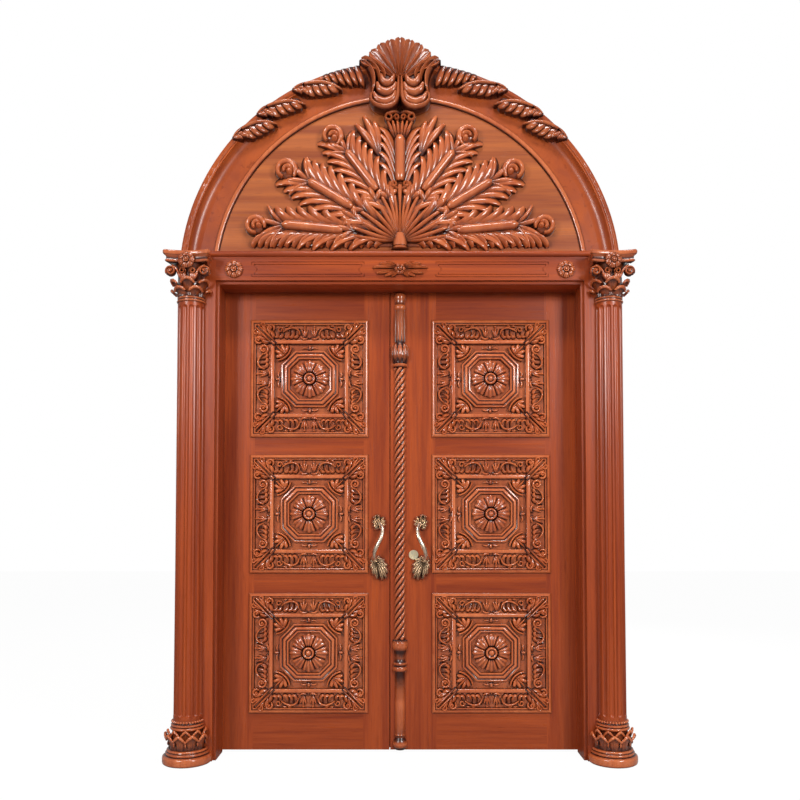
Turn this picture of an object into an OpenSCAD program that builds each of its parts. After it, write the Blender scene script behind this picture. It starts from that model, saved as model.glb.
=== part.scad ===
// Carved double entrance door with half-round columns and an arched fan pediment.
// X runs across the doorway, Y into the building and Z up from the floor.
// The origin lies on the floor, under the middle of the whole door.

/* [Doorway] */
// Clear width between the stops
doorway_w = 1608; // [1560:1:1700]
// Clear height under the head stop
doorway_h = 2098; // [2060:1:2200]
// Depth of the reveal in front of the leaves
reveal_d = 130; // [110:1:160]

/* [Frame] */
// Width of a jamb from the stop to its outer face
jamb_w = 181; // [175:1:220]
// How far a leaf laps behind the stop
lap_w = 12; // [9:1:14]
// Gap around each leaf
leaf_gap = 4; // [3.5:0.1:5]
// Gap between a leaf and the floor
floor_gap = 10; // [6:1:14]
// Thickness of the pilaster and frieze boards
board_t = 15; // [10:1:20]
// Width of the jamb edge that shows beside the boards
strip_w = 14; // [10:1:18]
// Height of the head above the doorway
head_h = 119; // [110:1:150]
// Height of the cornice moulding
cornice_h = 25; // [18:1:32]
// How far the cornice stands out past the boards
cornice_out = 15; // [13:1:20]

/* [Arch] */
// How far the feet of the arch stay inside the outer faces of the jambs
arch_inset = 10.4; // [5:0.1:15]
// How far the arch centre lies under the cornice top
arch_drop = 120; // [110:1:130]
// Width of the raised rim
rim_w = 25; // [20:1:30]
// Radius of the cove inside the rim
cove_r = 52; // [45:1:56]
// Width of the flat band inside the cove
band_w = 59; // [50:1:66]
// Thickness of the tympanum board
tympanum_t = 40; // [25:1:60]
// Half width of the bead around the tympanum
arch_bead_r = 13; // [10:0.5:16]

/* [Carving] */
// Width of the fan carving, as a share of the field inside the arch bead
fan_w_share = 0.8588; // [0.8:0.0001:0.88]
// Gap between the fan carving and the crest
fan_top_gap = 8.5; // [5:0.5:40]
// Relief of the fan carving
fan_relief = 44; // [30:1:55]
// Radius of the shell on the crest
shell_r = 188; // [170:1:200]
// Relief of the crest
crest_relief = 34; // [26:1:44]
// Radius of a frieze rosette
frieze_rosette_r = 40; // [34:1:46]

/* [Columns] */
// Distance of each column axis from the outer face of its jamb
column_inset = 61; // [55:1:68]
// Shaft radius at the foot
shaft_foot_r = 61; // [57:1:66]
// Shaft radius at the neck
shaft_neck_r = 57; // [52:1:60]
// Height of the column base
base_h = 186; // [170:1:200]
// Radius of the lowest ring of the base
base_r = 106; // [100:1:112]
// Height of the capital
capital_h = 214; // [190:1:230]
// Half width of the slab on the capital
capital_r = 105; // [100:1:112]

/* [Leaves] */
// Thickness of a leaf
leaf_t = 50; // [45:1:60]
// Distance of the meeting line from the middle
seam_x = 46; // [44:1:52]
// Distance of the panel centres from the middle, as a share of the doorway width
panel_x_share = 0.2587; // [0.256:0.0001:0.262]
// Outer width of a panel moulding, as a share of the doorway width
panel_w_share = 0.33706; // [0.325:0.00001:0.341]
// Outer height of a panel moulding, as a share of the doorway height
panel_h_share = 0.25834; // [0.25:0.00001:0.262]
// Height of the lower panel centres, as a share of the doorway height
lower_panel_share = 0.2121; // [0.209:0.0001:0.214]
// Height of the middle panel centres, as a share of the doorway height
middle_panel_share = 0.51335; // [0.511:0.00001:0.516]
// Height of the upper panel centres, as a share of the doorway height
upper_panel_share = 0.8098; // [0.808:0.0001:0.812]
// Width of the moulding around a panel
moulding_w = 26; // [22:1:32]
// Width of the carved border, as a share of the panel width
border_share = 0.13653; // [0.12:0.00001:0.148]
// Radius of a panel rosette, as a share of the coffer
rosette_share = 0.5404; // [0.48:0.0001:0.5404]

/* [Astragal] */
// Radius of the twisted part
rope_r = 25; // [22:0.5:28]
// Rise of one strand in a full turn
rope_lead = 162; // [140:1:190]
// Radius of the widest bulb
bulb_r = 37; // [33:0.5:40]

/* [Fittings] */
// Height of a pull handle
handle_h = 306; // [280:1:320]
// Place of each pull handle across its stile, as a share from the meeting line to the panel
handle_x_share = 0.5252; // [0.5:0.0001:0.56]
// Height of the pull handle centres
handle_z = 926; // [910:1:940]
// Thickness of the grip
grip_d = 19; // [15:1:22]
// Reach of the inner pulls behind the leaves
pull_reach = 58; // [48:1:65]
// Distance of the key cylinder from the middle
key_x = 62; // [58:1:66]
// Height of the key cylinder
key_z = 891; // [885:1:897]
// Diameter of the cylinder collar
collar_d = 43; // [38:1:46]
// Travel of the deadbolt
bolt_throw = 20; // [16:1:22]
// Radius of a flush bolt
flush_r = 6; // [5:0.5:7]
// Height of a hinge
hinge_h = 110; // [90:1:130]
// Radius of a hinge barrel
barrel_r = 7; // [6:0.25:7.25]
// Radius of a wall anchor hole
anchor_r = 5; // [4:0.5:6]

/* [Hidden] */
$fn = 64;

// One overrun serves every cut, and the gaps are clearances between fitted pieces
overrun = 1;
seat_gap = 0.3;
slide_gap = 0.2;
run_gap = 0.05;
stop_gap = 0.5;

// Finishes
mahogany = "#a5502d";
carved_mahogany = "#b06038";
bronze = "#6f6249";
brass = "#d2b06c";
steel = "#b8b8b4";

// Planes and edges that the pieces share
front_reach = reveal_d + board_t + base_r;
back_reach = leaf_t + pull_reach;
leaf_y = (front_reach - back_reach) / 2;
leaf_mid_y = leaf_y + leaf_t / 2;
frame_back_y = leaf_y + leaf_t;
jamb_front_y = leaf_y - reveal_d;
board_y = jamb_front_y - board_t;
frame_d = reveal_d + leaf_t;
stop_x = doorway_w / 2;
rebate_x = stop_x + lap_w + leaf_gap;
rebate_z = doorway_h + lap_w + leaf_gap;
leaf_edge_x = rebate_x - leaf_gap;
leaf_top_z = rebate_z - leaf_gap;
leaf_h = leaf_top_z - floor_gap;
jamb_out_x = stop_x + jamb_w;
board_edge_x = stop_x + strip_w;
cornice_z = doorway_h + head_h;
frieze_z = doorway_h + strip_w;
frieze_h = cornice_z - frieze_z;
arch_base_z = cornice_z + cornice_h;
arch_z = arch_base_z - arch_drop;
arch_x = jamb_out_x - arch_inset;
arch_r = sqrt(arch_x * arch_x + arch_drop * arch_drop);
column_x = jamb_out_x - column_inset;

// Wall anchors in the outer faces of the jambs
anchor_depth = 60;
anchor_foot_z = 360;
anchor_row_h = 1400;
anchor_row_d = 90;

// Arch section
rim_out = 10;
rim_bead_r = rim_w / 2;
band_back = 32;
rim_y = jamb_front_y - rim_out;
band_y = rim_y + band_back;
cove_in_r = arch_r - rim_w - cove_r;
tympanum_r = cove_in_r - band_w;
arch_bead_mid_r = tympanum_r - arch_bead_r - slide_gap;
back_panel_t = 20;

// Crest places that the fan carving stays clear of
shell_drop = 92;
shell_z = arch_r - shell_drop;
volute_h = 150;
volute_low_r = shell_z - volute_h * 0.75;

// Leaf joinery
panel_x = doorway_w * panel_x_share;
panel_w = doorway_w * panel_w_share;
panel_h = doorway_h * panel_h_share;
panel_extra = (panel_h - panel_w) / 2;
panel_zs = [for (s = [lower_panel_share, middle_panel_share, upper_panel_share]) doorway_h * s];
moulding_lap = 21;
opening_r = panel_w / 2 - moulding_lap;
opening_rise = opening_r + panel_extra;
handle_x = seam_x + (panel_x - panel_w / 2 - seam_x) * handle_x_share;
hinge_side_x = panel_x + opening_r;
meeting_side_x = panel_x - opening_r;
right_edge_x = -seam_x + leaf_gap / 2;
left_edge_x = seam_x + leaf_gap / 2;
rail_spans = [
    [floor_gap, panel_zs[0] - opening_rise],
    [panel_zs[0] + opening_rise, panel_zs[1] - opening_rise],
    [panel_zs[1] + opening_rise, panel_zs[2] - opening_rise],
    [panel_zs[2] + opening_rise, leaf_top_z]
];
tenon_l = 42;
tenon_t = 14;
tenon_shoulder = 20;
groove_d = 10;
groove_t = 10;
groove_inset = 24;
groove_y = leaf_y + groove_inset;

// Panel relief, measured outwards from the front of the leaf
moulding_h = 13;
border_level = -3;
coffer_level = -17;
coffer_bead_w = 15;
coffer_bead_level = 5;
panel_back_level = -38;
border_w = panel_w * border_share;
coffer_r = opening_r - border_w - coffer_bead_w;
coffer_stretch = (coffer_r + panel_extra) / coffer_r;
border_stretch = opening_rise / opening_r;
octagon_out_r = coffer_r * 0.79;
octagon_in_r = coffer_r * 0.545;
octagon_level = 1;
octagon_step_level = -7;
border_relief = 15;
rosette_h = 26;
rosette_r = coffer_r * rosette_share;
button_r = rosette_r * 0.31;
petals = 8;

// Turned astragal: heights as shares of its length, from the foot up
astragal_foot_gap = 2;
astragal_top_gap = 4;
astragal_foot_z = floor_gap + astragal_foot_gap;
astragal_top_z = doorway_h - astragal_top_gap;
astragal_h = astragal_top_z - astragal_foot_z;
rope_foot_share = 0.238;
rope_top_share = 0.834;
rope_foot_z = astragal_foot_z + astragal_h * rope_foot_share;
rope_top_z = astragal_foot_z + astragal_h * rope_top_share;
strands = 6;
strand_dip_share = 0.8;
rope_slices = 7;
rope_phase = 2;

// Lock in the meeting stile of the right leaf
lock_case_w = 78;
lock_case_h = 170;
lock_case_t = 24;
bolt_w = 12;
bolt_h = 30;
bolt_l = 60;
plug_r = 7;
cylinder_r = 13;
collar_t = 8;
turn_r = 15;
turn_t = 16;
blade_t = 7;
strike_t = 2;
strike_h = 90;
strike_w = 24;
strike_slack = 6;
strike_depth = bolt_throw + strike_slack;
flush_l = 200;
flush_inset = 24;
flush_x = seam_x + flush_inset;
flush_throw = 18;
keeper_gap = 0.5;
keeper_slack = 12;
keeper_depth = flush_throw + keeper_slack;
key_slot_w = 2;
key_slot_depth = 3;
key_slot_turn = 35;

// Hinges on the back edge of the jambs
hinge_shares = [0.12, 0.5, 0.88];
pin_x = rebate_x - leaf_gap / 2;
pin_y = frame_back_y + barrel_r + stop_gap;
pin_r = 3.5;
plate_gap = 0.4;
plate_t = (leaf_gap - plate_gap) / 2;
plate_d = 36;
knuckles = 5;
knuckle_gap = 0.4;

// Inner pulls
pull_bar_r = 10;
pull_post_r = 8;
pull_l = 240;
pull_post_share = 0.38;

// Carved blades: station, width and height shares along a blade
blade_shares = [[0, 0.5, 0.7], [0.5, 1, 1]];
blade_tip_share = 0.45;

function along(a, b, c, t) = a * (1 - t) * (1 - t) + b * 2 * t * (1 - t) + c * t * t;
function heading(a, b, c, t) = (b - a) * (1 - t) + (c - b) * t;
function unit(v) = v / norm(v);
function left_of(v) = [-v.y, v.x];
function polar(a, r) = [r * sin(a), r * cos(a)];
function turned(v, a) = [v.x * cos(a) - v.y * sin(a), v.x * sin(a) + v.y * cos(a)];
function station(p, side, w, h) = [
    [p.x + side.x * w, p.y + side.y * w, 0],
    [p.x, p.y, h],
    [p.x - side.x * w, p.y - side.y * w, 0]
];

// Puts a drawing on an upright face: its x stays X, its y becomes Z and its z stands out to the front
module on_face(x, y, z) {
    translate([x, y, z]) rotate([90, 0, 0]) children();
}

module both_sides() {
    children();
    mirror([1, 0, 0]) children();
}

// A ridge-backed blade that bends from its root past a bend point to its tip
module blade(root, bend, tip, w, h) {
    rows = [for (s = blade_shares)
        station(along(root, bend, tip, s[0]), unit(left_of(heading(root, bend, tip, s[0]))),
            w * s[1] / 2, h * s[2])];
    points = concat(rows[0], rows[1], [[tip.x, tip.y, 0], [tip.x, tip.y, h * blade_tip_share]]);
    polyhedron(points, [
        [0, 1, 2], [0, 3, 4], [0, 4, 1], [1, 4, 5], [1, 5, 2], [0, 2, 5], [0, 5, 3],
        [3, 6, 7], [3, 7, 4], [4, 7, 6], [4, 6, 5], [3, 5, 6]
    ]);
}

// A blade made convex, for short plump lobes
module lobe(root, bend, tip, w, h) {
    hull() blade(root, bend, tip, w, h);
}

// Frame

module doorway_rebate() {
    translate([-rebate_x, leaf_y - stop_gap, -overrun])
        cube([rebate_x * 2, leaf_t + stop_gap + overrun, rebate_z + overrun]);
}

module jamb_side() {
    anchor_mid_y = (jamb_front_y + frame_back_y) / 2;
    difference() {
        translate([stop_x, jamb_front_y, 0]) cube([jamb_w, frame_d, cornice_z]);
        doorway_rebate();
        for (z = [anchor_foot_z, anchor_foot_z + anchor_row_h], side = [-1, 1])
            translate([jamb_out_x - anchor_depth, anchor_mid_y + side * anchor_row_d / 2, z])
                rotate([0, 90, 0]) cylinder(r = anchor_r, h = anchor_depth + overrun);
    }
}

module left_jamb() {
    color(mahogany) mirror([1, 0, 0]) jamb_side();
}

module right_jamb() {
    color(mahogany) jamb_side();
}

module head_jamb() {
    color(mahogany) difference() {
        translate([-stop_x, jamb_front_y, doorway_h]) cube([doorway_w, frame_d, head_h]);
        doorway_rebate();
        translate([-flush_x, leaf_mid_y, rebate_z - overrun])
            cylinder(r = flush_r + keeper_gap, h = keeper_depth + overrun);
    }
}

module pilaster_side() {
    translate([board_edge_x, board_y, 0]) cube([jamb_out_x - board_edge_x, board_t, cornice_z]);
}

module left_pilaster() {
    color(mahogany) mirror([1, 0, 0]) pilaster_side();
}

module right_pilaster() {
    color(mahogany) pilaster_side();
}

// Frieze

frieze_panel_shares = [0.193, 0.806];
frieze_panel_h = frieze_h * 0.66;
frieze_line_w = 3;
frieze_line_d = 4;
frieze_inset = 11;
frieze_rosette_x = board_edge_x * 0.9;
frieze_mid_z = frieze_z + frieze_h * 0.46;
spray_w = 252;
spray_h = 68;
spray_relief = 16;

// An outline of the incised panel: a bar with a scoop taken out of each end
module frieze_outline(inset) {
    from_x = board_edge_x * frieze_panel_shares[0] + inset;
    to_x = board_edge_x * frieze_panel_shares[1] - inset;
    half_h = frieze_panel_h / 2 - inset;
    difference() {
        translate([from_x, -half_h]) square([to_x - from_x, half_h * 2]);
        for (x = [from_x, to_x]) translate([x, 0]) circle(r = half_h * 0.62);
    }
}

module frieze_line(inset) {
    difference() {
        frieze_outline(inset);
        frieze_outline(inset + frieze_line_w);
    }
}

module frieze_board() {
    color(mahogany) difference() {
        translate([-board_edge_x, board_y, frieze_z]) cube([board_edge_x * 2, board_t, frieze_h]);
        both_sides() on_face(0, board_y + frieze_line_d, frieze_mid_z)
            linear_extrude(frieze_line_d + overrun) {
                frieze_line(0);
                frieze_line(frieze_inset);
            }
    }
}

// Rings of a domed flower from its button out: reach, height on a petal's ridge and height in a valley
flower_button_shares = [[0.55, 1.2, 1.2], [1, 1.08, 1.08], [1.18, 0.7, 0.7]];
flower_petal_shares = [[0.62, 1, 0.74], [0.88, 0.74, 0.42], [1, 0.3, 0.16]];
flower_notch_share = 0.9;

function flower_ring(reach, ridge, valley, notch) = [for (k = [0 : petals * 2 - 1])
    let (at = polar(k * 180 / petals, k % 2 == 0 ? reach : reach * notch))
        [at.x, at.y, k % 2 == 0 ? ridge : valley]];

// A domed flower in one piece: petals with a ridge each, around a button
module flower(r, h, button) {
    sides = petals * 2;
    rings = concat(
        [for (s = flower_button_shares) flower_ring(s[0] * button, s[1] * h, s[2] * h, 1)],
        [for (s = flower_petal_shares) flower_ring(s[0] * r, s[1] * h, s[2] * h,
            s[0] < 1 ? 1 : flower_notch_share)],
        [flower_ring(r, 0, 0, flower_notch_share)]);
    last = len(rings) - 1;
    polyhedron([for (ring = rings) each ring], concat(
        [[for (k = [0 : sides - 1]) k]],
        [[for (k = [sides - 1 : -1 : 0]) last * sides + k]],
        [for (i = [0 : last - 1], k = [0 : sides - 1]) let (n = (k + 1) % sides)
            each [[i * sides + k, (i + 1) * sides + k, (i + 1) * sides + n],
                [i * sides + k, (i + 1) * sides + n, i * sides + n]]]));
}

module frieze_rosettes() {
    color(carved_mahogany) both_sides() on_face(frieze_rosette_x, board_y, frieze_mid_z)
        flower(frieze_rosette_r, frieze_rosette_r * 0.35, frieze_rosette_r * 0.3);
}

// Leaf sprays on both sides of a small flower: root, bend and tip as shares of half the spray's size
spray_shares = [
    [0.05, 0.0, 0.5, 0.5, 0.98, 0.1], [0.05, 0.0, 0.4, -0.5, 0.86, -0.5], [0.1, 0.1, 0.3, 0.9, 0.72, 0.85],
    [0.1, -0.1, 0.2, -0.8, 0.5, -0.95], [0.05, 0.2, 0.1, 0.8, 0.36, 1.0]
];

module frieze_spray() {
    size = [spray_w / 2, spray_h / 2];
    color(carved_mahogany) on_face(0, board_y, frieze_mid_z) {
        both_sides() for (s = spray_shares) lobe([s[0] * size.x, s[1] * size.y],
            [s[2] * size.x, s[3] * size.y], [s[4] * size.x, s[5] * size.y], spray_h * 0.26, spray_relief);
        cylinder(r = spray_h * 0.3, h = spray_relief * 1.15, $fn = 10);
    }
}

cornice_end = 15;
cornice_x = jamb_out_x - cornice_end;
cornice_nose_r = cornice_h / 2;

module cornice() {
    nose_y = board_y - cornice_out + cornice_nose_r;
    color(mahogany) translate([-cornice_x, 0, cornice_z]) rotate([90, 0, 90])
        linear_extrude(cornice_x * 2) {
            translate([nose_y, 0]) square([frame_back_y - nose_y, cornice_h]);
            translate([nose_y, cornice_nose_r]) circle(r = cornice_nose_r);
        }
}

// Arch

// Swings a section about the arch centre: its x is the radius and its y the depth
module arch_swing(turn) {
    translate([0, 0, arch_z]) rotate([90, 0, 0]) mirror([0, 0, 1]) rotate([0, 0, 90 - turn / 2])
        rotate_extrude(angle = turn) children();
}

// The whole arch, cut off at the cornice
module arch_sweep() {
    intersection() {
        arch_swing(180, $fn = 160) children();
        translate([-arch_r * 2, -arch_r, arch_base_z]) cube([arch_r * 4, arch_r * 2, arch_r * 2]);
    }
}

module arch_section() {
    difference() {
        union() {
            translate([tympanum_r + slide_gap, rim_y])
                square([arch_r - tympanum_r - slide_gap, frame_back_y - rim_y]);
            translate([arch_r - rim_bead_r, rim_y + rim_bead_r / 2]) circle(r = rim_bead_r);
        }
        translate([tympanum_r - overrun, rim_y - rim_w])
            square([cove_in_r - tympanum_r + overrun, rim_w + band_back]);
        translate([cove_in_r, band_y - cove_r]) circle(r = cove_r);
    }
}

module arch_frame() {
    color(mahogany) arch_sweep() arch_section();
}

module arch_bead() {
    color(carved_mahogany) arch_sweep() intersection() {
        translate([arch_bead_mid_r, band_y]) circle(r = arch_bead_r);
        translate([0, band_y - arch_bead_r * 2]) square([arch_r, arch_bead_r * 2]);
    }
}

module arch_board(y, t) {
    arch_sweep() translate([0, y]) square([tympanum_r, t]);
}

module tympanum() {
    color(mahogany) arch_board(band_y, tympanum_t);
}

module arch_back_panel() {
    color(mahogany) arch_board(frame_back_y - back_panel_t, back_panel_t);
}

// Fan carving: plumes that spread from a vase at the foot, as shares of half its width

fan_foot_gap = 21;
fan_foot_z = arch_base_z + fan_foot_gap;
fan_unit = (arch_bead_mid_r - arch_bead_r) * fan_w_share;
fan_h = volute_low_r - arch_drop - fan_foot_gap - fan_top_gap;
fan_top_share = 0.892;
fan_rise = fan_h / fan_unit / fan_top_share;
fan_back_h = fan_relief * 0.3;
fan_back_shares = [[0, 0.02], [0.8, 0.03], [0.92, 0.12], [0.92, 0.17], [0.78, 0.28], [0.74, 0.48],
    [0.7, 0.5], [0.47, 0.7], [0.44, 0.73], [0.12, 0.76], [0.1, 0.87], [0, 0.87]];
// Each plume: foot and head of its rod, its half width and the length of its feathers
plume_shares = [
    [[0.156, 0.385], [0.332, 0.629], 0.028, 0.15],
    [[0.31, 0.269], [0.585, 0.436], 0.03, 0.15],
    [[0.387, 0.122], [0.752, 0.16], 0.033, 0.14]
];
curl_shares = [[0.458, 0.73, 0.056], [0.734, 0.494, 0.064], [0.938, 0.141, 0.066]];
frond_tip_shares = [[0.4, 0.05], [0.385, 0.19], [0.32, 0.275], [0.25, 0.34], [0.16, 0.38], [0.07, 0.41]];
hem_shares = [0.16, 0.26, 0.36, 0.47, 0.58, 0.69, 0.8];
crown_shares = [[0.03, 0.56, 0.14, 0.66, 0.115, 0.8], [0.03, 0.47, 0.16, 0.56, 0.15, 0.7],
    [0.03, 0.64, 0.08, 0.74, 0.07, 0.86]];
feathers = 4;
feather_spread = 42;
feather_lean = 67;
frond_root_shares = [0.01, 0.05];
frond_bend_shares = [0.42, 0.7];
// A hem lobe's root, bend and tip from its place on the hem
hem_lobe_shares = [[-0.02, 0.075], [0.05, 0.07], [0.06, 0.005]];
// Bars up the middle: both ends, half width and height
stem_shares = [
    [[0, 0.47], [0, 0.74], 0.042, 1], [[0, 0.05], [0, 0.4], 0.026, 0.8],
    [[-0.04, 0.405], [0.04, 0.405], 0.03, 0.95], [[-0.045, 0.03], [0.045, 0.03], 0.032, 1],
    [[-0.07, 0.862], [0.07, 0.862], 0.03, 0.9], [[-0.045, 0.8], [0.045, 0.8], 0.035, 0.8]
];

function fan_at(s) = [s.x * fan_unit, s.y * fan_unit * fan_rise];

// A round bar with bevelled ends, lying on the carving's ground
module bar(a, b, r, h) {
    nose = unit(b - a) * r;
    hull() {
        for (p = [a, b]) translate(p) cylinder(r1 = r, r2 = r * 0.5, h = h, $fn = 8);
        for (p = [a - nose, b + nose]) translate(p) cylinder(r = r * 0.4, h = h * 0.5, $fn = 6);
    }
}

module plume(p) {
    foot = fan_at(p[0]);
    head = fan_at(p[1]);
    length = p[3] * fan_unit;
    run = unit(head - foot);
    bar(foot, head, p[2] * fan_unit, fan_relief);
    for (side = [-1, 1], k = [0 : feathers - 1]) {
        root = foot + (head - foot) * (k / (feathers - 1) * 1.15 - 0.1);
        aim = turned(run, side * feather_spread);
        lean = turned(run, side * feather_lean);
        blade(root, root + lean * length * 0.5, root + aim * length, length * 0.3, fan_relief * 0.72);
    }
}

// A flat snail curl with an eye
module curl(at, r, h) {
    translate(at) {
        difference() {
            cylinder(r1 = r, r2 = r * 0.86, h = h, $fn = 12);
            translate([0, 0, h * 0.62]) cylinder(r = r * 0.58, h = h, $fn = 10);
        }
        cylinder(r1 = r * 0.4, r2 = r * 0.2, h = h * 0.95, $fn = 7);
    }
}

module fan_side() {
    linear_extrude(fan_back_h) polygon([for (s = fan_back_shares) fan_at(s)]);
    for (p = plume_shares) plume(p);
    for (c = curl_shares) curl(fan_at(c), c[2] * fan_unit, fan_relief * 0.8);
    for (tip = frond_tip_shares)
        blade(fan_at(frond_root_shares), fan_at([tip.x * frond_bend_shares.x, tip.y * frond_bend_shares.y]),
            fan_at(tip), fan_unit * 0.062, fan_relief * 0.8);
    for (x = hem_shares) translate([x * fan_unit, 0, 0])
        lobe(fan_at(hem_lobe_shares[0]), fan_at(hem_lobe_shares[1]), fan_at(hem_lobe_shares[2]),
            fan_unit * 0.05, fan_relief * 0.62);
    for (c = crown_shares)
        blade(fan_at([c[0], c[1]]), fan_at([c[2], c[3]]), fan_at([c[4], c[5]]), fan_unit * 0.055,
            fan_relief * 0.7);
}

module fan_carving() {
    color(carved_mahogany) on_face(0, band_y, fan_foot_z) {
        both_sides() fan_side();
        for (m = stem_shares) bar(fan_at(m[0]), fan_at(m[1]), m[2] * fan_unit, m[3] * fan_relief);
    }
}

// Leaf garlands on the rim: clusters of finger lobes that follow the arch

garland_from = 15;
garland_step = 8.8;
garland_clusters = 4;
garland_relief = 18;
// Tips of a cluster's lobes: turn along the arch as a share of a step, and reach across the rim and cove
garland_tip_shares = [[1.0, 0.02], [0.86, 0.34], [0.6, 0.68], [0.3, 0.95]];
garland_reach = rim_w + cove_r;
// Carvings on the rim are worked on this plane, with the cove filled behind them
rim_front_y = rim_y - rim_bead_r / 2;
carving_y = rim_front_y - seat_gap;
fill_lap = 2.5;
fill_y = carving_y - fill_lap;
fill_gap = 1.2;

// The wood behind a carving that fills the cove
module cove_fill() {
    intersection() {
        translate([cove_in_r, band_y - cove_r]) circle(r = cove_r - seat_gap, $fn = 20);
        translate([cove_in_r, fill_y]) square([cove_r, band_y - fill_y]);
    }
}

module garland_side() {
    for (k = [0 : garland_clusters - 1]) {
        a = garland_from + k * garland_step;
        for (s = garland_tip_shares) {
            root = polar(a, arch_r - rim_w * 0.4);
            tip = polar(a + garland_step * s[0], arch_r - garland_reach * s[1] - rim_w * 0.1);
            bend = polar(a + garland_step * s[0] * 0.75, arch_r - garland_reach * s[1] * 0.3);
            lobe(root, bend, tip, rim_w * 1.05, garland_relief);
        }
        lobe(polar(a - garland_step * 0.25, arch_r - rim_w * 0.5), polar(a, arch_r - rim_w * 0.5),
            polar(a + garland_step * 1.05, arch_r - rim_w * 0.55), rim_w * 1.1, garland_relief * 0.96);
    }
}

module arch_garlands() {
    turn = garland_step * garland_clusters;
    color(carved_mahogany) both_sides() {
        on_face(0, carving_y, arch_z) garland_side();
        translate([0, 0, arch_z]) rotate([0, garland_from + turn / 2, 0]) translate([0, 0, -arch_z])
            arch_swing(turn, $fn = 60) cove_fill();
    }
}

// Crest: a ribbed shell over a pair of nested volutes

shell_turns = [0, 18, 35, 51];
shell_rib_share = 0.34;
volute_w = 128;
volute_steps = 3;
strap_w = 34;
crest_turn = 14;
volute_shrink_share = 0.25;
volute_lift_share = 0.06;
volute_rise_shares = [0.66, 0.15];

module volute_side() {
    for (k = [0 : volute_steps - 1]) {
        fit = 1 - k * volute_shrink_share;
        lift = volute_h * volute_lift_share * k;
        h = crest_relief * (volute_rise_shares[0] + volute_rise_shares[1] * k);
        hull() for (s = [-1, 1])
            translate([volute_w * 0.52, -volute_h * 0.36 + lift + s * volute_h * 0.1 * fit, 0])
                cylinder(r1 = volute_w * 0.5 * fit, r2 = volute_w * 0.38 * fit, h = h, $fn = 12);
    }
    blade([volute_w * 0.75, -volute_h * 0.45], [volute_w * 1.45, -volute_h * 0.2],
        [volute_w * 1.4, volute_h * 0.48], strap_w, crest_relief * 0.8);
}

module shell_rib(a) {
    lobe([0, 0], polar(a, shell_r * 0.8), polar(a, shell_r), shell_r * shell_rib_share, crest_relief);
}

// The wood behind the crest, clear of the rim, the bead and the tympanum
module crest_fill() {
    bead_out_r = arch_bead_mid_r + arch_bead_r + fill_gap;
    cove_fill();
    translate([bead_out_r, fill_y]) square([cove_in_r - bead_out_r, band_y - fill_y]);
    translate([volute_low_r, fill_y])
        square([arch_bead_mid_r - arch_bead_r - fill_gap - volute_low_r, band_y - fill_y]);
    translate([arch_r + fill_gap, fill_y]) square([shell_r * 0.3, band_back]);
}

module crest() {
    color(carved_mahogany) {
        on_face(0, carving_y, arch_z + shell_z) {
            both_sides() {
                for (a = shell_turns) shell_rib(a);
                volute_side();
            }
            for (a = shell_turns, s = [-1, 1])
                translate(polar(s * a, shell_r * 0.86)) cylinder(r1 = shell_r * 0.14, r2 = shell_r * 0.1,
                    h = crest_relief * 0.92, $fn = 12);
            hull() for (a = shell_turns, s = [-1, 1])
                translate(polar(s * a, shell_r * 0.7))
                    cylinder(r = shell_r * 0.1, h = crest_relief * 0.5, $fn = 8);
        }
        arch_swing(crest_turn, $fn = 72) crest_fill();
    }
}

// Columns

column_y = board_y;
shaft_h = cornice_z - capital_h - base_h;
flutes = 6;
flute_r = 13;
flute_out = 4.5;
flute_end = 26;

module half_round() {
    intersection() {
        children();
        translate([-base_r * 2, -base_r * 4, -overrun]) cube([base_r * 4, base_r * 4, cornice_z]);
    }
}

module column_shaft_side() {
    lean = atan2(shaft_foot_r - shaft_neck_r, shaft_h);
    translate([column_x, column_y, base_h]) half_round() difference() {
        cylinder(r1 = shaft_foot_r, r2 = shaft_neck_r, h = shaft_h);
        for (k = [0 : flutes - 1]) rotate([0, 0, 180 + (k + 0.5) * 180 / flutes])
            translate([shaft_foot_r + flute_out, 0, 0]) rotate([0, -lean, 0]) {
                translate([0, 0, flute_end]) cylinder(r = flute_r, h = shaft_h - flute_end * 2);
                for (z = [flute_end, shaft_h - flute_end]) translate([0, 0, z]) sphere(r = flute_r);
            }
    }
}

module left_column_shaft() {
    color(mahogany) mirror([1, 0, 0]) column_shaft_side();
}

module right_column_shaft() {
    color(mahogany) column_shaft_side();
}

// Turned rings as shares of the base: height and radius up its outline
base_ring_shares = [[0, 1], [0.17, 1], [0.2, 0.98], [0.21, 0.87], [0.27, 0.87], [0.28, 0.82], [0.34, 0.8],
    [0.35, 0.7], [0.72, 0.6], [0.75, 0.69], [0.81, 0.69], [0.83, 0.66], [0.87, 0.66], [0.88, 0.62],
    [1, 0.6]];
base_leaves = 8;
base_leaf_shares = [[0.34, 0.74], [0.55, 0.8], [0.68, 0.92], [0.62, 0.72]];

module base_leaf() {
    hull() {
        for (s = base_leaf_shares, side = [-1, 1])
            translate([base_r * s[1], side * base_r * 0.1, base_h * s[0]])
                sphere(r = base_r * 0.03, $fn = 4);
        translate([base_r * 0.5, 0, base_h * 0.4]) sphere(r = base_r * 0.12, $fn = 4);
    }
}

module column_base_side() {
    translate([column_x, column_y, 0]) half_round() {
        rotate_extrude($fn = 24) polygon(concat([[0, 0]],
            [for (s = base_ring_shares) [s[1] * base_r, s[0] * base_h]], [[0, base_h]]));
        for (k = [0 : base_leaves - 1]) rotate([0, 0, 180 + k * 180 / (base_leaves - 1)]) base_leaf();
    }
}

module left_column_base() {
    color(carved_mahogany) mirror([1, 0, 0]) column_base_side();
}

module right_column_base() {
    color(carved_mahogany) column_base_side();
}

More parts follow.
